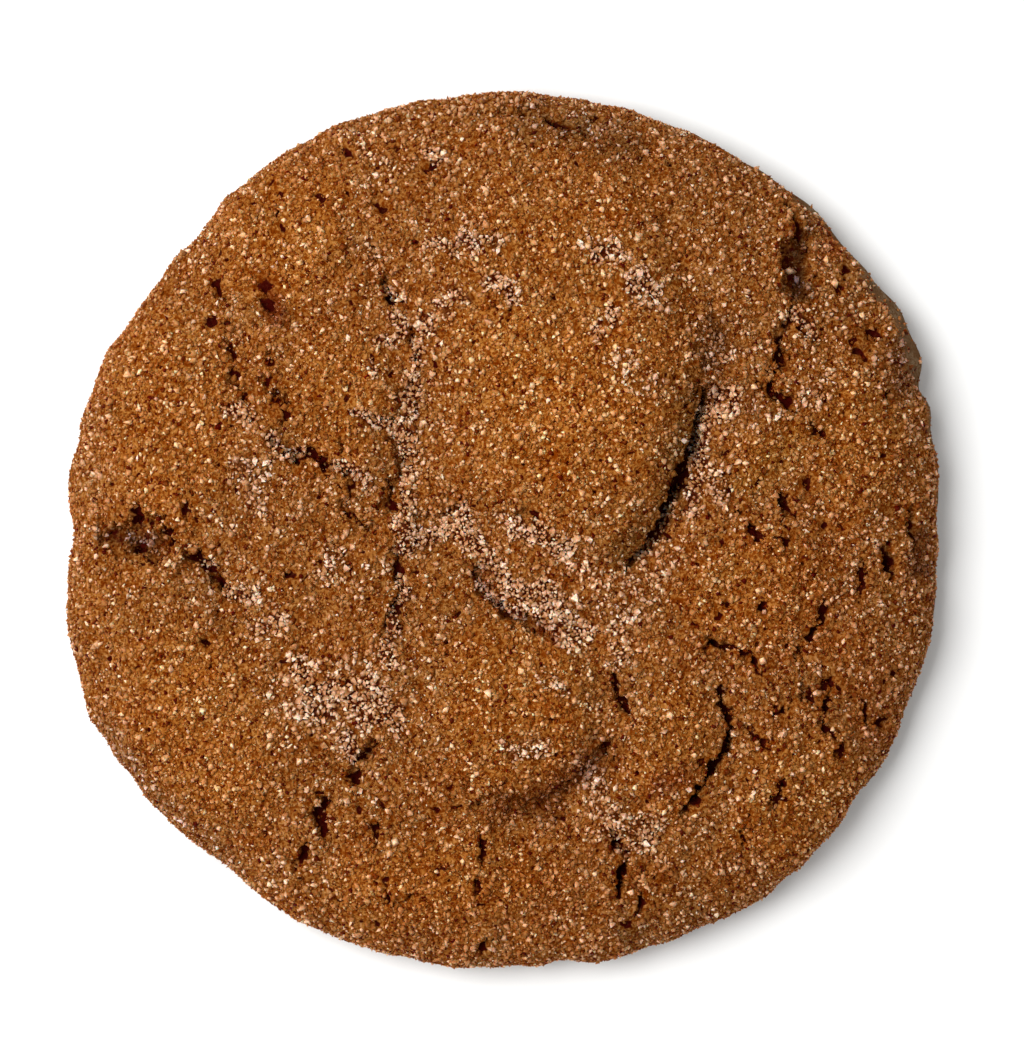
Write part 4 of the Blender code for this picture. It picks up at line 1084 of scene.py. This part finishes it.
def make_drifts(crust, draws):
    """The pale sugar that lies loose in the hollows, and a little of it everywhere."""
    clumps = CLUMP_LEAST + (1 - CLUMP_LEAST) * smoothstep(0.5 + waves(crust.points[:, :2], CLUMPS))
    off_cracks = 1 - PALE_LESS_IN_CRACKS * smoothstep(CRACKS_FADE * crust.gaping)
    weights = crust.sugared * (clumps * crust.drifted**DRIFT_POWER + PALE_ANYWHERE) * off_cracks
    places = thinned(scattered(crust, PALE.count, weights, draws), PALE_SPACING)
    grains = make_grains("pale_sugar", places, grain_colours(places, PALE, draws, PALE_TINT), PALE, draws)
    grains.data.shade_flat()
    return grains


def make_large_crystals(crust, draws):
    """A few coarse crystals that catch the light."""
    places = places_at(crust, CRYSTALS)
    return make_grains("coarse_sugar", places, grain_colours(places, LARGE, draws), LARGE, draws)


# Materials

class Nodes:
    """Short calls that add shader nodes to one material and link them."""

    def __init__(self, name):
        self.material = bpy.data.materials.new(name)
        self.material.use_nodes = True
        self.tree = self.material.node_tree
        self.shader = self.tree.nodes["Principled BSDF"]

    def put(self, socket, value):
        """Links an output to a socket, or sets the socket to a plain value."""
        if isinstance(value, bpy.types.NodeSocket):
            self.tree.links.new(value, socket)
        elif isinstance(value, tuple) and len(value) == 3 and socket.type == "RGBA":
            socket.default_value = (*value, 1.0)
        else:
            socket.default_value = value

    def add(self, kind, output, inputs, **settings):
        """One output of a new node of a kind, with its settings made and its inputs filled."""
        node = self.tree.nodes.new("ShaderNode" + kind)
        for name, value in settings.items():
            setattr(node, name, value)
        for name, value in inputs.items():
            self.put(node.inputs[name], value)
        return node.outputs[output]

    def attribute(self, name, output="Fac"):
        return self.add("Attribute", output, {}, attribute_name=name)

    def place(self):
        return self.add("TexCoord", "Object", {})

    def height(self):
        """Height over the foot, in mm."""
        return self.math("MULTIPLY", self.add("SeparateXYZ", "Z", {"Vector": self.place()}), 1 / MM)

    def noise(self, size, detail=3.0):
        """Noise whose bumps are about size mm across."""
        inputs = {"Vector": self.place(), "Scale": 1 / (size * MM), "Detail": detail, "Roughness": 0.55}
        return self.add("TexNoise", "Fac", inputs)

    def cells(self, size):
        """A value from 0 to 1 for each of many uneven cells about size mm across."""
        inputs = {"Vector": self.place(), "Scale": 1 / (size * MM)}
        return self.between(self.add("TexVoronoi", "Color", inputs), 0.0, 1.0)

    def between(self, value, low, high):
        """The value spread out to 0 at low and 1 at high."""
        inputs = {"Value": value, "From Min": low, "From Max": high}
        return self.add("MapRange", "Result", inputs, interpolation_type="SMOOTHSTEP")

    def patches(self, size, low, high):
        """Patches about size mm across: 0 where the noise is at low and 1 where it is at high."""
        return self.between(self.noise(size), low, high)

    def ramp(self, value, stops):
        """The colour at a value from 0 to 1 along a row of stops."""
        node = self.tree.nodes.new("ShaderNodeValToRGB")
        for place, _ in stops[1:-1]:
            node.color_ramp.elements.new(place)
        for element, (place, colour) in zip(node.color_ramp.elements, stops):
            element.position = place
            element.color = (*colour, 1.0)
        self.put(node.inputs["Fac"], value)
        return node.outputs["Color"]

    def mix(self, share, first, second, blend="MIX"):
        return self.add("Mix", 2, {0: share, 6: first, 7: second}, data_type="RGBA", blend_type=blend)

    def math(self, operation, first, second):
        return self.add("Math", 0, {0: first, 1: second}, operation=operation)

    def glow(self, weight, reach):
        """Lets light spread inside the material, red the furthest, up to about the given reach in mm."""
        self.put(self.shader.inputs["Subsurface Weight"], weight)
        self.shader.inputs["Subsurface Radius"].default_value = LIGHT_SPREAD
        self.put(self.shader.inputs["Subsurface Scale"], reach * MM)

    def bump(self, height, distance, strength):
        """Fine relief of the given height in mm."""
        inputs = {"Strength": strength, "Distance": distance * MM, "Height": height}
        self.put(self.shader.inputs["Normal"], self.add("Bump", "Normal", inputs))

    def finish(self, colour, roughness, shine=0.5):
        """Gives the shader its colour and surface, and hands back the material."""
        for name, value in (("Base Color", colour), ("Roughness", roughness), ("Specular IOR Level", shine)):
            self.put(self.shader.inputs[name], value)
        return self.material


def baked_colour(nodes, pores):
    """The crust's colour along the row of tones, unlike from crumb to crumb, and darker in the pores as
    painted shade.
    """
    patches = nodes.math("MULTIPLY", nodes.patches(4.0, 0.3, 0.7), 0.14)
    mottle = nodes.math("MULTIPLY", nodes.patches(0.45, 0.3, 0.7), 0.28)
    crumbs = nodes.math("MULTIPLY", nodes.cells(0.34), 0.20)
    value = nodes.math("ADD", nodes.math("ADD", patches, mottle), nodes.math("ADD", crumbs, 0.10))
    # Painted shade: darker where the pores sink
    value = nodes.math("MULTIPLY", value, nodes.math("ADD", nodes.math("MULTIPLY", pores, 0.5), 0.5))
    return nodes.mix(1.0, nodes.ramp(value, TONES), nodes.attribute("zone", "Color"), "MULTIPLY")


def side_colour(nodes):
    """The bare side is tan, and brown in patches, low down and in its pores."""
    side = nodes.mix(nodes.patches(1.5, 0.35, 0.70), SIDE_TAN, SIDE_BROWN)
    side = nodes.mix(nodes.between(nodes.height(), 2.4, 0.2), side, SIDE_BROWN)
    return nodes.mix(nodes.patches(0.35, 0.56, 0.40), side, SIDE_BROWN)


def dough_material():
    """Browned dough: golden on its plates, with painted shade dark in the cracks, smooth and tan low on the
    side.
    """
    nodes = Nodes("baked_crust")
    # The pores sink the crust by bump and darken it as painted shade
    pores = nodes.between(nodes.noise(0.30, 1.0), 0.40, 0.54)
    colour = nodes.mix(nodes.attribute("sugared"), side_colour(nodes), baked_colour(nodes, pores))
    base = nodes.mix(nodes.patches(1.4, 0.35, 0.65), UNDERSIDE_BROWN, TONES[1][1])
    colour = nodes.mix(nodes.attribute("underside"), colour, base)
    torn_edge = nodes.math("MULTIPLY", nodes.noise(0.5), 0.5)
    # Painted shade: the floors of cracks and holes near black and dark brown, with a ragged edge
    sunk = nodes.between(nodes.math("ADD", nodes.attribute("sunk"), torn_edge), 0.52, 0.68)
    colour = nodes.mix(sunk, colour, nodes.mix(nodes.patches(0.45, 0.5, 0.8), CRACK_SHADE_DARK, CRACK_SHADE_BROWN))
    nodes.bump(nodes.math("ADD", pores, nodes.noise(0.22, 2.0)), 0.08, 0.8)
    return nodes.finish(colour, 0.62, 0.0)


def sugar_material(name):
    """Sugar grains in their own colours, stained unevenly with cinnamon, and glossy on their flat sides."""
    nodes = Nodes(name)
    stain = nodes.between(nodes.noise(0.25, 1.0), 0.40, 0.75)
    colour = nodes.attribute("tint", "Color")
    stained = nodes.mix(1.0, colour, CINNAMON_STAIN, "MULTIPLY")
    nodes.glow(0.6, 0.3)
    return nodes.finish(nodes.mix(stain, colour, stained), 0.35, 0.03)


def floor_material():
    nodes = Nodes("pale_floor")
    darker = tuple(FLOOR_MOTTLE * value for value in FLOOR_COLOUR)
    return nodes.finish(nodes.mix(nodes.patches(400.0, 0.3, 0.7), FLOOR_COLOUR, darker), 0.8)


# Camera, light and floor

def make_camera():
    """Looks straight down, with the cookie where it is in the photo."""
    camera = bpy.data.objects.new("camera", bpy.data.cameras.new("camera"))
    bpy.context.scene.collection.objects.link(camera)
    camera.location = (0.0, 0.0, (WIDEST_HEIGHT + CAMERA_DISTANCE) * MM)
    camera.data.sensor_width = SENSOR_WIDTH
    camera.data.lens = camera.data.sensor_width * CAMERA_DISTANCE / (FRAME_HEIGHT * PIXEL)
    camera.data.shift_x = (FRAME_WIDTH / 2 - COOKIE_AT[0]) / FRAME_HEIGHT
    camera.data.shift_y = (COOKIE_AT[1] - FRAME_HEIGHT / 2) / FRAME_HEIGHT
    bpy.context.scene.camera = camera


def make_lamp():
    """A square soft light like daylight from the photo's upper left."""
    lamp = bpy.data.objects.new("key", bpy.data.lights.new("key", "AREA"))
    bpy.context.scene.collection.objects.link(lamp)
    lamp.data.size = LAMP_SIZE
    lamp.data.energy = LAMP_POWER
    lamp.location = LAMP_PLACE
    lamp.rotation_mode = "QUATERNION"
    lamp.rotation_quaternion = (-Vector(LAMP_PLACE)).to_track_quat("-Z", "Y")


def make_studio():
    """The soft lamp, light from all round, and a near-white floor."""
    make_lamp()
    world = bpy.data.worlds.new("studio")
    bpy.context.scene.world = world
    world.use_nodes = True
    world.node_tree.nodes["Background"].inputs["Color"].default_value = (1.0, 1.0, 1.0, 1.0)
    world.node_tree.nodes["Background"].inputs["Strength"].default_value = WORLD_STRENGTH
    corners = FLOOR_HALF * np.array(((-1, -1, 0), (1, -1, 0), (1, 1, 0), (-1, 1, 0)))
    floor = make_object("floor", corners, np.array(((0, 1, 2, 3),)), floor_material())
    bpy.context.scene.view_settings.view_transform = "Standard"


def centre_on_frame(crust):
    """Moves the crust so that the middle of its box is over the solid's."""
    low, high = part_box("cookie")
    middle = (np.array(low + high) / 2 / MM)[:2]
    own = (crust.points[:, :2].min(axis=0) + crust.points[:, :2].max(axis=0)) / 2
    crust.points[:, :2] += middle - own


def main():
    draws = np.random.default_rng(SEED)
    crust, ring = make_crust(draws)
    centre_on_frame(crust)
    body = make_body(crust, ring, draws)
    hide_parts("cookie")
    sugar = make_coat(crust, draws) + [make_drifts(crust, draws), make_large_crystals(crust, draws)]
    for piece in [body] + sugar:
        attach(piece, "root")
    make_camera()
    make_studio()


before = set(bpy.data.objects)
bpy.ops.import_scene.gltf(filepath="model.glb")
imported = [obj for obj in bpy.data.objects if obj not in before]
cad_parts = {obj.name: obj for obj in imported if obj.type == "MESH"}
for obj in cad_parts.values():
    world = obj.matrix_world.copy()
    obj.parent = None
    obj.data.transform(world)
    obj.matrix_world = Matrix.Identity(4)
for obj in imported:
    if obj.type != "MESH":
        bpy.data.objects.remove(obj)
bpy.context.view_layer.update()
main()
